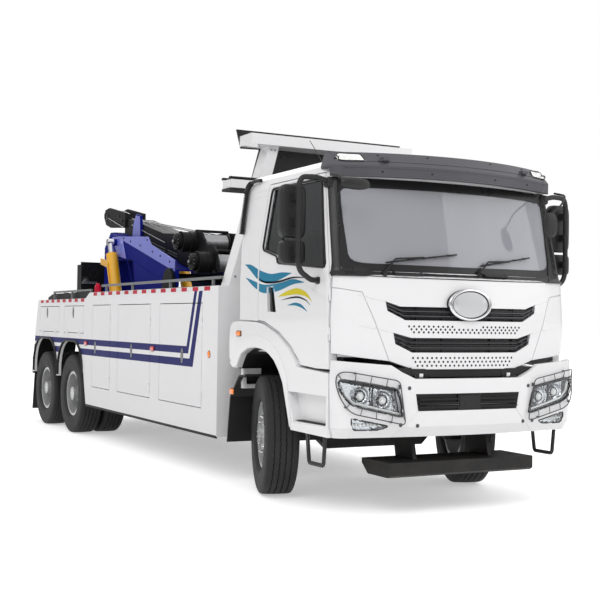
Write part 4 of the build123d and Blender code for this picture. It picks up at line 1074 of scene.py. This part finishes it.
# Door mirrors: housings (y, height, half sizes, power), rims and glass (low, high, y), and a bent arm
doorMirror = {
    "x": 1421, "housings": ((560, 2492, (114, 50, 222), 0.32), (552, 2152, (112, 48, 96), 0.34)),
    "rims": ((2296, 2690, 607), (2068, 2236, 596)), "glass": ((2300, 2686, 606), (2072, 2232, 595)),
    "arm": ((1128, 436, 2735), (1168, 440, 2752), (1263, 440, 2776), (1392, 442, 2768), (1420, 446, 2700),
            (1420, 446, 2330), (1420, 446, 2068), (1392, 448, 1990), (1290, 454, 1926), (1222, 462, 1926),
            (1200, 466, 1926)), "armSize": 23, "clamps": (2600, 2400, 2150),
    "feet": (((1140, 440, 2738), (34, 46, 44)), ((1206, 466, 1924), (20, 46, 34))),
}


def mirrorOutline(x, y, low, high, half, radius):
    corners = ((-half, low), (half, low), (half, high), (-half, high))
    return rounded([(x + dx, y, z) for dx, z in corners], radius, closed=True)


for side, sideName in sides:
    middle = side * doorMirror["x"]
    shape = bmesh.new()
    for y, z, half, power in doorMirror["housings"]:
        addRounded(shape, (middle, y, z), half, power)
    for low, high, y in doorMirror["rims"]:
        addTube(shape, mirrorOutline(middle, y, low, high, 92, 26), 7, 6, closed=True)
    addTube(shape, rounded(flipped(side, doorMirror["arm"]), 60, 5), doorMirror["armSize"], 14)
    for z in doorMirror["clamps"]:
        addBlock(shape, (middle - 26, 440, z - 30), (middle + 26, 525, z + 30))
    for (x, y, z), half in doorMirror["feet"]:
        addRounded(shape, (side * x, y, z), half, 0.5)
    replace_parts(finishPiece(shape, f"mirror_housings_{sideName}", "blackPlastic", f"cab_door_{sideName}",
                            smooth=40), f"mirrors_{sideName}")
    shape = bmesh.new()
    for low, high, y in doorMirror["glass"]:
        addPlate(shape, mirrorOutline(middle, y, low, high, 88, 24), (0, 5, 0))
    finishPiece(shape, f"mirror_glass_{sideName}", "mirrorGlass", f"cab_door_{sideName}")

# Kerb mirror under the visor on the right, and the round front mirror on the left: head, then arm
frontMirrors = (
    ((-1118, 45, 2688), (132, 30, 46), 0.75,
     ((-1205, 290, 2790), (-1222, 150, 2770), (-1215, 70, 2700), (-1160, 50, 2690)), 50),
    ((860, 15, 2462), (80, 24, 112), 0.8,
     ((1110, 250, 2780), (1080, 60, 2740), (980, 10, 2640), (872, 12, 2560)), 60))
shape = bmesh.new()
for middle, half, power, arm, bend in frontMirrors:
    addRounded(shape, middle, half, power)
    addTube(shape, rounded(arm, bend), 9, 8)
finishPiece(shape, "front_mirrors", "blackPlastic", "cab", smooth=50)
print("mirrors made")

# Side of the cab: pillar strips (height, front x, side y), window seals, handles, creases, breathers, drip lines
pillar = ((1958, 930, 290), (1972, 980, 291), (2010, 1020, 294), (2060, 1034, 298), (2150, 1052, 316),
          (2400, 1060, 370), (2660, 1064, 426), (2786, 1064, 452))
windowSeal = {
    "edge": ((354, 2035), (1215, 2105), (1228, 2165), (1518, 2235), (1408, 2772), (508, 2772)),
    "middle": (950, 2430), "spread": (0.012, 0.02), "size": 10, "division": ((1180, 2110), (1172, 2765)),
}
handle = {"cup": ((1228, 1667), (1279, 1880), (1398, 1883), (1386, 1673)),
          "pull": ((1284, 1653), (1329, 1897), (1363, 1897), (1321, 1653))}
doorCrease = ((236, 1764), (330, 1778), (470, 1812), (560, 1850))
breather = {
    "path": ((1222, 1955, 2405), (1214, 1925, 2600), (1196, 1890, 2850), (1176, 1780, 2892), (1168, 1665, 2884)),
    "size": 17, "rings": 34, "ring": ((17, -5), (27, -4), (27, 4), (17, 5)),
}
sideLines = (((1895, 2712), (1460, 2738)), ((1815, 2776), (870, 2806)))
for side, sideName in sides:
    door = f"cab_door_{sideName}"
    shape = bmesh.new()
    wrapCorner(shape, side, along(pillar, 44), ("cab_shell", "windshield", "cab_nose"), 14, 6, 36)
    finishPiece(shape, f"pillar_strip_{sideName}", "satinBlack", "cab", smooth=50)
    shape = bmesh.new()
    (midY, midZ), (spreadY, spreadZ) = windowSeal["middle"], windowSeal["spread"]
    edge = [(y + (y - midY) * spreadY, z + (z - midZ) * spreadZ)
            for y, z in rounded(windowSeal["edge"], 34, closed=True)]
    addTube(shape, laidLoop(edge, (door,), side, 1, 120), windowSeal["size"], 8, closed=True)
    addTube(shape, laidLine(windowSeal["division"], (f"door_glass_{sideName}",), side, 4, 2), 9, 6)
    finishPiece(shape, f"window_seal_{sideName}", "sealRubber", door, smooth=60)
    shape = bmesh.new()
    addPlate(shape, rounded(upright(side * 1191, handle["cup"]), 20, closed=True), (side * 4, 0, 0))
    addPlate(shape, rounded(upright(side * 1188, handle["pull"]), 14, closed=True), (side * 30, 0, 0))
    finishPiece(shape, f"door_handle_{sideName}", "satinBlack", door, bevel=2.5)
    shape = bmesh.new()
    drape(shape, strip(rounded(doorCrease, 60), 9, 16), (door,), side, 4, 3)
    finishPiece(shape, f"door_crease_{sideName}", "whitePaint", door, bevel=3)
    shape = bmesh.new()
    path = along(rounded(flipped(side, breather["path"]), 70, 6), 46)
    addTube(shape, path, breather["size"], 10)
    for here, there in zip(path[:breather["rings"]], path[1:]):
        addTurned(shape, breather["ring"], here, there - here, 16)
    finishPiece(shape, f"corner_breather_{sideName}", "blackPlastic", "cab", smooth=50)
    shape = bmesh.new()
    for line in sideLines:
        drape(shape, strip(line, 5, 14), ("cab_shell",), side, 3, 3)
    finishPiece(shape, f"cab_side_lines_{sideName}", "whitePaint", "cab", bevel=2)

# Painted ribbons on the doors and the cab's rear quarter: colour and a chain of (y, height, half-width)
ribbons = (
    ("tealFilm", ((1880, 2110, 2), (1760, 2078, 30), (1560, 1990, 52), (1330, 1960, 40), (1120, 1985, 30),
                  (940, 2000, 2))),
    ("tealFilm", ((1850, 1985, 2), (1700, 1930, 26), (1500, 1870, 40), (1180, 1880, 34), (900, 1930, 24),
                  (700, 1915, 2))),
    ("blackPaint", ((1700, 2028, 2), (1500, 1934, 9), (1200, 1925, 10), (900, 1966, 8), (640, 1950, 1))),
    ("yellowFilm", ((1180, 1800, 2), (1020, 1826, 20), (820, 1846, 28), (650, 1812, 18), (560, 1750, 1))),
    ("blackPaint", ((1120, 1768, 1), (960, 1786, 6), (800, 1794, 8), (660, 1764, 5), (590, 1722, 1))),
    ("tealFilm", ((1000, 1722, 1), (860, 1735, 13), (740, 1716, 15), (640, 1668, 1))))
for side, sideName in sides:
    door = f"cab_door_{sideName}"
    for body, node, low, high in ((door, door, 0, 1583), ("cab", "cab_shell", 1596, 1950)):
        for number, (finish, chain) in enumerate(ribbons):
            spine = [point for point in along(rounded(chain, 400, 8), 60) if low <= point.x <= high]
            if len(spine) < 3:
                continue
            shape = bmesh.new()
            rows = [[(p.x, p.y + p.z * t) for t in (1, 0.5, 0, -0.5, -1)] for p in spine]
            drape(shape, rows, (node,), side, 1.6, 1)
            finishPiece(shape, f"ribbon_{number}_{body}_{sideName}", finish, body, smooth=60)
print("cab sides dressed")

# Fenders: flared lip round the arch, black hoop, step tread, and marker lamps (y, height, half sizes, nodes)
fender = {
    "arch": ((2068, 1138), (1984, 1139), (1930, 1215), (1877, 1275), (1740, 1325), (1583, 1340), (1430, 1327),
             (1301, 1290), (1190, 1232), (1100, 1150), (1016, 1041), (873, 656)),
    "flare": ((2130, 1180), (2040, 1240), (1985, 1320), (1905, 1392), (1750, 1440), (1583, 1452), (1420, 1438),
              (1270, 1395), (1140, 1320), (1030, 1215), (950, 1090), (872, 760)), "flareOut": 11,
    "hoop": ((331, 652), (355, 424), (372, 407), (587, 407), (602, 424), (639, 652)), "hoopSize": 17,
    "markers": ((1945, 1462, 44, 21, ("fenders",)), (2125, 905, 40, 26, ("mudguards", "fenders"))),
}
# Ribs on the two steps: inner and outer x, first y, width, bottom, top, pitch, number
treads = ((1168, 1228, 280, 10, 745, 750, 41, 13), (1190, 1215, 385, 8, 416, 425, 34, 6))
for side, sideName in sides:
    shape = bmesh.new()
    inner = [(y + 2, z + 4) for y, z in fender["arch"][:-1]] + [(878, 672)]
    drape(shape, between(inner, fender["flare"], 48, 5), ("fenders",), side, fender["flareOut"], 3)
    finishPiece(shape, f"fender_flare_{sideName}", "whitePaint", "chassis", bevel=6, smooth=50, steps=3)
    shape = bmesh.new()
    addTube(shape, laidLine([(y, z - 1) for y, z in fender["arch"]], ("fenders",), side, 4, 60), 9, 8)
    addTube(shape, rounded(upright(side * 1202.5, fender["hoop"]), 30), fender["hoopSize"], 12)
    finishPiece(shape, f"arch_lip_{sideName}", "blackPlastic", "chassis", smooth=60)
    shape = bmesh.new()
    addBlock(shape, (side * 1166, 266, 742), (side * 1230, 812, 745))
    for near, far, first, wide, low, high, pitch, count in treads:
        for y in range(first, first + pitch * count, pitch):
            addBlock(shape, (side * near, y, low), (side * far, y + wide, high))
    finishPiece(shape, f"step_tread_{sideName}", "darkSteel", "chassis", bevel=1)
    lamp = bmesh.new()
    foot = bmesh.new()
    for y, z, long, tall, names in fender["markers"]:
        place = beside(names, side, y, z) or Vector((side * 1215, y, z))
        addRounded(foot, place + Vector((side * 2, 0, 0)), (5, long + 6, tall + 6), 0.25)
        addRounded(lamp, place + Vector((side * 9, 0, 0)), (9, long, tall), 0.3)
    finishPiece(lamp, f"side_markers_front_{sideName}", "amberLens", "chassis")
    finishPiece(foot, f"side_marker_feet_front_{sideName}", "sealRubber", "chassis")
print("fenders dressed")

# Body sides: arch lips (start, end, top, foot), lower edge, marker lamps (y, height)
archLip = {"runs": ((6888, 8050, 1261, 780), (8150, 9385, 1276, 780)), "round": 400, "rise": 22, "spread": 0.035}
bodyLamps = {"amber": (2628, 1243), "amberLens": ((1, 14), (22, 12), (31, 7), (33, 0), (1, 0)),
             "amberFoot": ((1, 2), (38, 2), (38, -1), (1, -1)), "red": ((4230, 1254), (6744, 1254))}
for side, sideName in sides:
    shape = bmesh.new()
    for low, high, top, foot in archLip["runs"]:
        size = archLip["round"]
        quarter = [(size * math.sin(a), size * math.cos(a)) for a in (math.pi * k / 20 for k in range(11))]
        path = [(low, foot), (low, top - size)]
        path += [(low + size - across, top - size + up) for up, across in quarter[1:]]
        path += [(high - size + across, top - size + up) for across, up in quarter]
        path.append((high, foot))
        rows = []
        for y, z in path:
            inner = Vector((y, z))
            edge = Vector((y + (y - (low + high) / 2) * archLip["spread"], z + archLip["rise"] if z > top - 390 else z))
            profile = ((1246, inner), (1272, inner), (1276, (inner + edge) / 2), (1262, edge), (1250, edge))
            rows.append([(side * x, *place) for x, place in profile])
        addSwept(shape, rows)
    finishPiece(shape, f"wheel_arch_lips_{sideName}", "sealRubber", "chassis", smooth=50)
    shape = bmesh.new()
    addBlock(shape, (side * 1236, 2424, 424), (side * 1252, 6716, 452))
    finishPiece(shape, f"lower_edge_{sideName}", "blackPaint", "chassis", bevel=1.5)
    amber, red, feet = (bmesh.new() for part in range(3))
    place = (side * bodyX, *bodyLamps["amber"])
    addTurned(amber, bodyLamps["amberLens"], place, (side, 0, 0), 28)
    addTurned(feet, bodyLamps["amberFoot"], place, (side, 0, 0), 28)
    for y, z in bodyLamps["red"]:
        addRounded(red, (side * 1257, y, z), (8, 52, 24), 0.25)
        addRounded(feet, (side * 1251, y, z), (3, 58, 30), 0.2)
    finishPiece(amber, f"side_marker_amber_{sideName}", "amberLens", "chassis")
    finishPiece(red, f"side_markers_red_{sideName}", "redLens", "chassis")
    finishPiece(feet, f"side_marker_feet_{sideName}", "sealRubber", "chassis")
print("body sides dressed")

# Black liner under the front fenders, and the wall behind each front wheel
liner = {"reach": (700, 1192), "thick": 3, "share": 0.985,
         "wall": ((900, 640), (900, 900), (1100, 1130), (1300, 1270), (1583, 1310), (1880, 1250), (2060, 1120),
                  (2060, 560)), "wallX": 500}
shape = bmesh.new()
for side in (1, -1):
    hub = Vector((wheels["frontY"], wheels["high"]))
    path = [hub + (point - hub) * liner["share"] for point in along(fender["arch"], 40)]
    (near, far), thick = liner["reach"], liner["thick"]
    addSwept(shape, [[(side * x, p.x, p.y + rise) for x, rise in ((near, 0), (far, 0), (far, thick), (near, thick))]
                     for p in path])
    addPlate(shape, upright(side * liner["wallX"], liner["wall"]), (side * thick, 0, 0))
finishPiece(shape, "wheel_house_liners", "blackPlastic", "chassis", smooth=50)

# Gantry: rails and trims on the wings, bolts (x, height), roof studs (y, height, radius), aerial and its foot
gantry = {"rail": ((800, 3004), (1136, 3004), (1136, 2990)), "railSize": 13,
          "bolts": ((1000, 2160), (1070, 2020), (690, 3310), (650, 3310)),
          "studs": ((458, 2868, 14), (2060, 2838, 5), (1390, 2812, 5)), "aerial": ((545, 2896), (800, 3138)),
          "aerialFoot": ((1, 26), (12, 24), (20, 14), (24, 0), (1, 0))}
shape = bmesh.new()
for side in (1, -1):
    for y in (2440, 2612):
        addTube(shape, rounded([(side * x, y, z) for x, z in gantry["rail"]], 12), gantry["railSize"], 10)
    addBlock(shape, (side * 758, 2421, 2874), (side * 1138, 2629, 2901))
finishPiece(shape, "gantry_trims", "satinBlack", "chassis", bevel=3)
shape = bmesh.new()
for side in (1, -1):
    for x, z in gantry["bolts"]:
        addRod(shape, (side * x, 2427, z), (side * x, 2417, z), 11, 6)
finishPiece(shape, "gantry_bolts", "dullSteel", "chassis")
shape = bmesh.new()
base = beside(("cab_shell",), -1, 562, 2890) or Vector((-1130, 562, 2890))
addTube(shape, upright(base.x + 6, gantry["aerial"]), 3, 6)
addTurned(shape, gantry["aerialFoot"], (base.x + 8, 545, 2878), (-0.5, -0.2, 1), 20)
for side in (1, -1):
    for y, z, size in gantry["studs"]:
        place = beside(("cab_shell",), side, y, z)
        if place:
            profile = ((1, 14), (size, 12), (size * 1.6, 5), (size * 1.6, -3), (1, -3))
            addTurned(shape, profile, place, (side, 0, 0), 20)
finishPiece(shape, "roof_studs", "satinBlack", "cab", smooth=50)
print("gantry dressed")

# Boom frame: paler blue plates along the side plates, on the posts and on one bracket, painted light where those faces
# catch more light; their bolts, and the ribs' ends
boomSide = {
    "cover": ((5600, 2342), (6480, 2592), (6590, 2700), (7760, 2776), (7660, 2716), (5606, 2196)),
    "post": ((7760, 2776), (8130, 2790), (7880, 2500), (7500, 2440), (7640, 2700)),
    "bracket": ((7590, 2720), (7622, 3070), (7795, 3100), (7880, 2992), (7935, 2800)),
    "bolts": ((5780, 2330), (6120, 2420), (6420, 2490), (6900, 2600), (7300, 2680), (6620, 2660), (7600, 2740)),
    "ribs": (((7640, 2690), (7200, 2060)), ((7230, 2410), (5800, 2030))), "ribHalf": 9,
}
shape = bmesh.new()
bolts = bmesh.new()
for side in (1, -1):
    # Paler blue plates on the side plates and posts, and below on one bracket: painted light
    addPlate(shape, upright(side * 451, boomSide["cover"]), (side * 8, 0, 0))
    addPlate(shape, upright(side * 451, boomSide["post"]), (side * 7, 0, 0))
    for y, z in boomSide["bolts"]:
        addRod(bolts, (side * 457, y, z), (side * 468, y, z), 13, 6)
addPlate(shape, upright(-211, boomSide["bracket"]), (-6, 0, 0))
finishPiece(shape, "boom_lit_blue_patches", "litBluePaint", "boom", bevel=3)
finishPiece(bolts, "boom_cover_bolts", "darkSteel", "boom", bevel=1)
shape = bmesh.new()
for side in (1, -1):
    for (startY, startZ), (endY, endZ) in boomSide["ribs"]:
        half = boomSide["ribHalf"]
        rib = ((startY - half, startZ), (startY + half, startZ), (endY + half, endZ), (endY - half, endZ))
        addPlate(shape, upright(side * 450, rib), (side * 6, 0, 0))
finishPiece(shape, "boom_seams", "bluePaint", "boom", bevel=2)

# Lift cylinders: gland, bands at shares of the length, hose (share, way out) and the brace beside them
lift = {
    "foot": (550, 7400, 1420), "eye": (550, 7940, 2700), "glandShare": 0.86,
    "gland": ((52, 2), (74, 2), (78, -2), (78, -34), (72, -38), (52, -38)),
    "bands": (0.2, 0.5, 0.78), "band": ((70, -9), (81, -8), (81, 8), (70, 9)),
    "hose": ((0.2, 60), (0.22, 94), (0.74, 94), (0.78, 60)), "hoseSize": 10,
    "brace": ((8560, 2500), (8110, 2425), (8125, 2320), (8555, 2405)),
}
shape = bmesh.new()
gland = bmesh.new()
for side in (1, -1):
    foot, eye = (Vector(place) for place in flipped(side, (lift["foot"], lift["eye"])))
    reach = eye - foot
    way = reach.normalized()
    addTurned(gland, lift["gland"], foot + reach * lift["glandShare"], way, 36)
    for share in lift["bands"]:
        addTurned(shape, lift["band"], foot + reach * share, way, 36)
    hose = [foot + reach * share + Vector((side * out, -30, 0)) for share, out in lift["hose"]]
    addTube(shape, rounded(hose, 30), lift["hoseSize"], 8)
    addPlate(shape, upright(side * 478, lift["brace"]), (side * 16, 0, 0))
finishPiece(shape, "lift_cylinder_trims", "yellowPaint", "lift_cylinder_barrels", bevel=2)
finishPiece(gland, "lift_cylinder_glands", "brightSteel", "lift_cylinder_barrels", bevel=1.5)
print("boom dressed")

# Winches: rope windings, end covers with bolts, bands round the housings
winch = {
    "drums": (("lower_winch", 4930, 2290), ("upper_winch", 5460, 2570)),
    "turns": 21, "steps": 20, "reach": 178, "coil": 103, "rope": 8,
    "cap": ((1, 34), (30, 34), (34, 30), (36, 14), (78, 12), (84, 8), (84, 0), (1, 0)), "capX": 505,
    "hub": ((1, 50), (16, 49), (18, 46), (18, 32), (1, 32)),
    "band": ((126, -9), (134, -8), (134, 8), (126, 9)), "bands": (268, 330, 440),
    "bolts": 12, "boltRing": 92, "flangeBolts": 16, "flangeRing": 117, "flangeX": 445, "boltSize": 7,
}
for body, y, z in winch["drums"]:
    rope = bmesh.new()
    count = winch["turns"] * winch["steps"]
    coil = []
    for k in range(count + 1):
        angle = 2 * math.pi * k / winch["steps"]
        coil.append((-winch["reach"] + 2 * winch["reach"] * k / count, y + winch["coil"] * math.cos(angle),
                     z + winch["coil"] * math.sin(angle)))
    addTube(rope, coil, winch["rope"], 6)
    finishPiece(rope, f"rope_coil_{body}", "wireRope", body, smooth=60)
    caps = bmesh.new()
    bright = bmesh.new()
    for side in (1, -1):
        outward = Vector((side, 0, 0))
        end = (side * winch["capX"], y, z)
        addTurned(caps, winch["cap"], end, outward, 40)
        for x in winch["bands"]:
            addTurned(caps, winch["band"], (side * x, y, z), outward, 48)
        addTurned(bright, winch["hub"], end, outward, 20)
        for spoke in ring(winch["bolts"], winch["boltRing"], 0.5):
            seat = Vector(end) + spoke
            addRod(bright, seat, seat + outward * 9, winch["boltSize"], 6)
        for spoke in ring(winch["flangeBolts"], winch["flangeRing"], 0.5):
            seat = Vector((side * winch["flangeX"], y, z)) + spoke
            addRod(caps, seat, seat + outward * 10, winch["boltSize"], 6)
    finishPiece(caps, f"winch_covers_{body}", "blackPaint", "boom", bevel=1.5, smooth=40)
    finishPiece(bright, f"winch_bolts_{body}", "dullSteel", "boom")

# Taut ropes and rigid lines along the boom
ropes = {
    "boom": ((196, 6640, 2634), (196, 8010, 2977)), "head": ((186, 8425, 2968), (176, 9065, 3134), (176, 9180, 3164)),
    "pairX": 65, "size": 8, "thin": 7, "line": ((5700, 2330), (6300, 2470), (7000, 2625), (7500, 2737)),
    "drops": (0, 34), "lineSize": 9, "clamps": ((5900, 2374), (6600, 2537), (7300, 2692)),
}
shape = bmesh.new()
for side in (-1, 1):
    addTube(shape, flipped(side, ropes["boom"]), ropes["thin"], 8)
for x in (-ropes["pairX"], ropes["pairX"]):
    mouth = onto(("boom_box", "boom_frame", "inner_boom"), (x, 8200, 3600), (0, 0, -1)) or Vector((x, 8200, 3100))
    addTube(shape, ((x, 5480, 2681), (x, 8200, mouth.z + 14)), ropes["size"], 8)
finishPiece(shape, "boom_ropes", "wireRope", "boom", smooth=60)
shape = bmesh.new()
for side in (1, -1):
    x = side * ropes["pairX"]
    addTube(shape, flipped(side, ropes["head"]), ropes["thin"], 8)
    addTube(shape, ((x, 8240, mouth.z + 22), (x, 9228, 3302)), ropes["size"], 8)
finishPiece(shape, "head_ropes", "wireRope", "boom_extension", smooth=60)
shape = bmesh.new()
for side in (1, -1):
    for drop in ropes["drops"]:
        addTube(shape, [(side * 186, y, z - drop) for y, z in ropes["line"]], ropes["lineSize"], 8)
    for y, z in ropes["clamps"]:
        addBlock(shape, (side * 180, y - 14, z - 52), (side * 200, y + 14, z + 18))
finishPiece(shape, "boom_lines", "satinBlack", "boom", smooth=50)

# Boom head: pins (y, height, radius) and their keepers
pins = {"places": ((9260, 3190, 46), (9370, 3235, 30), (9050, 3110, 24), (8560, 3080, 24), (8700, 3160, 18)),
        "x": 165, "screws": 4}
shape = bmesh.new()
for side in (1, -1):
    for y, z, size in pins["places"]:
        profile = ((1, 16), (size * 0.6, 16), (size * 0.7, 12), (size, 10), (size, 0), (1, 0))
        addTurned(shape, profile, (side * pins["x"], y, z), (side, 0, 0), 28)
        for spoke in ring(pins["screws"], size * 0.8, 0.5):
            addRod(shape, Vector((side * 173, y, z)) + spoke, Vector((side * 180, y, z)) + spoke, 4, 6)
finishPiece(shape, "head_pins", "darkSteel", "boom_extension", smooth=40)
print("winches and ropes made")

# Deck: low tool trunks at the rear with their straps, and red bottle caps
deck = {"trunk": ((7010, 1874), (7007, 1942), (8800, 1950), (8959, 1945), (9200, 1896), (9200, 1860), (7010, 1860)),
        "straps": (7300, 7800, 8300), "cap": ((1, 132), (18, 130), (26, 122), (30, 100), (42, 96), (44, 0), (1, 0))}
shape = bmesh.new()
for side in (1, -1):
    addPlate(shape, upright(side * 1010, deck["trunk"]), (side * 96, 0, 0))
    for y in deck["straps"]:
        addBlock(shape, (side * 1040, y, 1948), (side * 1104, y + 60, 1956))
finishPiece(shape, "deck_trunks", "chassisPaint", "chassis", bevel=4)
shape = bmesh.new()
for side in (1, -1):
    addTurned(shape, deck["cap"], (side * 1085, 6800, 1928), (0, 0, 1), 24)
finishPiece(shape, "red_caps", "redPaint", "chassis", smooth=40)

# Rear: lamp clusters (colour, distances from the middle) and a blank plate on the stubs
rearLamps = {"lamps": (("redLens", (1100, 980)), ("amberLens", (860,)), ("whiteLens", (745,))), "high": 850,
             "lens": ((1, 20), (34, 18), (48, 10), (50, 0), (1, 0)),
             "rim": ((50, 0), (50, 8), (56, 8), (58, 5), (58, 0))}
feet = bmesh.new()
for finish, places in rearLamps["lamps"]:
    shape = bmesh.new()
    for side in (1, -1):
        for x in places:
            for target, part in ((shape, "lens"), (feet, "rim")):
                addTurned(target, rearLamps[part], (side * x, 9700, rearLamps["high"]), (0, 1, 0), 32)
    finishPiece(shape, f"rear_lamps_{finish}", finish, "chassis", smooth=50)
finishPiece(feet, "rear_lamp_rims", "sealRubber", "chassis", smooth=50)
shape = bmesh.new()
addBlock(shape, (-620, 9702, 790), (-400, 9705, 910))
finishPiece(shape, "rear_plate", "whiteFilm", "chassis", bevel=1)

# Crossbar: rings on both faces, bolts and bars
crossbar = {"x": 420, "ring": ((40, 0), (40, 7), (58, 7), (62, 3), (62, 0)), "faces": ((9515, -1), (9752, 1)),
            "bolts": ((-54, -200), (54, -200), (-54, 200), (54, 200)), "bars": (-490, 244), "barLong": 246,
            "plug": ((56, 0), (56, 5), (64, 5), (64, 0))}
shape = bmesh.new()
for x in (-crossbar["x"], crossbar["x"]):
    for y, way in crossbar["faces"]:
        addTurned(shape, crossbar["ring"], (x, y, 2185), (0, way, 0), 40)
    for dx, dz in crossbar["bolts"]:
        addRod(shape, (x + dx, 9515, 2215 + dz), (x + dx, 9506, 2215 + dz), 12, 6)
addTurned(shape, crossbar["plug"], (-297, 9515, 2298), (0, -1, 0), 40)
finishPiece(shape, "crossbar_rings", "darkSteel", "underlift", smooth=40)
shape = bmesh.new()
for x in crossbar["bars"]:
    addBlock(shape, (x, 9496, 2132), (x + crossbar["barLong"], 9514, 2168))
finishPiece(shape, "crossbar_bars", "dullSteel", "underlift", bevel=4)
print("deck and rear dressed")

# Cab inside: seat cushions in three panels (low, high, thickness), and the steering wheel
seat = {
    "path": ((930, 1648), (948, 1722), (1010, 1748), (1380, 1752), (1448, 1752), (1500, 1900), (1560, 2180),
             (1600, 2400), (1640, 2430)), "panels": ((330, 458, 40), (462, 658, 26), (662, 790, 40)),
}
steering = {"middle": (560, 820, 2015), "tilt": 46, "radius": 215, "size": 15,
            "hub": ((1, 26), (52, 24), (64, 12), (66, -14), (1, -14))}
shape = bmesh.new()
for side in (1, -1):
    for low, high, thick in seat["panels"]:
        rows = []
        path = rounded(seat["path"], 60, 4)
        for a, b in zip(path, path[1:] + [path[-1] * 2 - path[-2]]):
            way = (b - a).normalized()
            out = Vector((0, -way.y, way.x))
            middle = Vector((side * (low + high) / 2, a.x, a.y))
            half = (high - low) / 2
            rows.append([shape.verts.new(middle + Vector((side * half * t, 0, 0))
                                         + out * thick * (1 - abs(t) ** 4) ** 0.5 - out * 4)
                         for t in (-1, -0.9, -0.6, 0, 0.6, 0.9, 1)])
        joinRows(shape, rows, around=False)
finishPiece(shape, "seat_cushions", "seatCloth", "cab", smooth=60)
shape = bmesh.new()
tilted = Matrix.Rotation(math.radians(steering["tilt"]), 4, "X") @ Vector((0, 0, 1))
radius, size = steering["radius"], steering["size"]
rim = [(radius + size * math.cos(a), size * math.sin(a)) for a in (math.pi * k / 5 for k in range(10))]
addTurned(shape, rim, steering["middle"], tilted, 56)
addTurned(shape, steering["hub"], steering["middle"], tilted, 36)
finishPiece(shape, "steering_wheel_rim", "blackPlastic", "cab", smooth=50)
print("cab inside dressed")

# Floor and light
studio = {"floor": 0.86, "lift": 0.42, "horizon": 0.35, "zenith": 1.15, "key": 630, "fill": 330, "rim": 300}
bpy.ops.mesh.primitive_plane_add(size=160, location=(0, 0, 0))
floor = bpy.context.object
floor.name = "floor"
floor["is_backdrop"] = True
finish, tree, shader = newFinish("paleFloor", Roughness=0.9)
path = addNode(tree, "ShaderNodeLightPath").outputs
mirrored = sums(tree, "MAXIMUM", path["Is Glossy Ray"], path["Is Transmission Ray"])
seen = sums(tree, "MAXIMUM", path["Is Camera Ray"], mirrored)
shader.inputs["Base Color"].default_value = grey(studio["floor"])
shader.inputs["Emission Color"].default_value = grey(1)
tree.links.new(sums(tree, "MULTIPLY", seen, studio["lift"]), shader.inputs["Emission Strength"])
floor.data.materials.append(finish)

world = bpy.data.worlds.new("studio")
bpy.context.scene.world = world
world.use_nodes = True
tree = world.node_tree
back = tree.nodes["Background"]
path = addNode(tree, "ShaderNodeLightPath").outputs
seen = sums(tree, "MAXIMUM", path["Is Camera Ray"], path["Is Transmission Ray"])
rise = heightOf(tree, addNode(tree, "ShaderNodeTexCoord").outputs["Generated"])
sky = ramp(tree, rise, -0.1, 0.8, studio["horizon"], studio["zenith"])
strength = sums(tree, "ADD", sums(tree, "MULTIPLY", seen, sums(tree, "SUBTRACT", 1.0, sky)), sky)
tree.links.new(strength, back.inputs["Strength"])
back.inputs["Color"].default_value = grey(1)


def addLamp(name, place, aim, size):
    data = bpy.data.lights.new(name, "AREA")
    data.size = size
    data.energy = studio[name]
    lamp = bpy.data.objects.new(name, data)
    bpy.context.scene.collection.objects.link(lamp)
    lamp.location = place
    lamp.rotation_euler = (Vector(aim) - Vector(place)).to_track_quat("-Z", "Y").to_euler()


addLamp("key", (-9, -13, 11), (0, -1, 1), 7)
addLamp("fill", (10, -12, 7), (0, 0, 1), 8)
addLamp("rim", (3, 13, 9), (0, 0, 1.5), 7)
print("studio lit")

low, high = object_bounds()
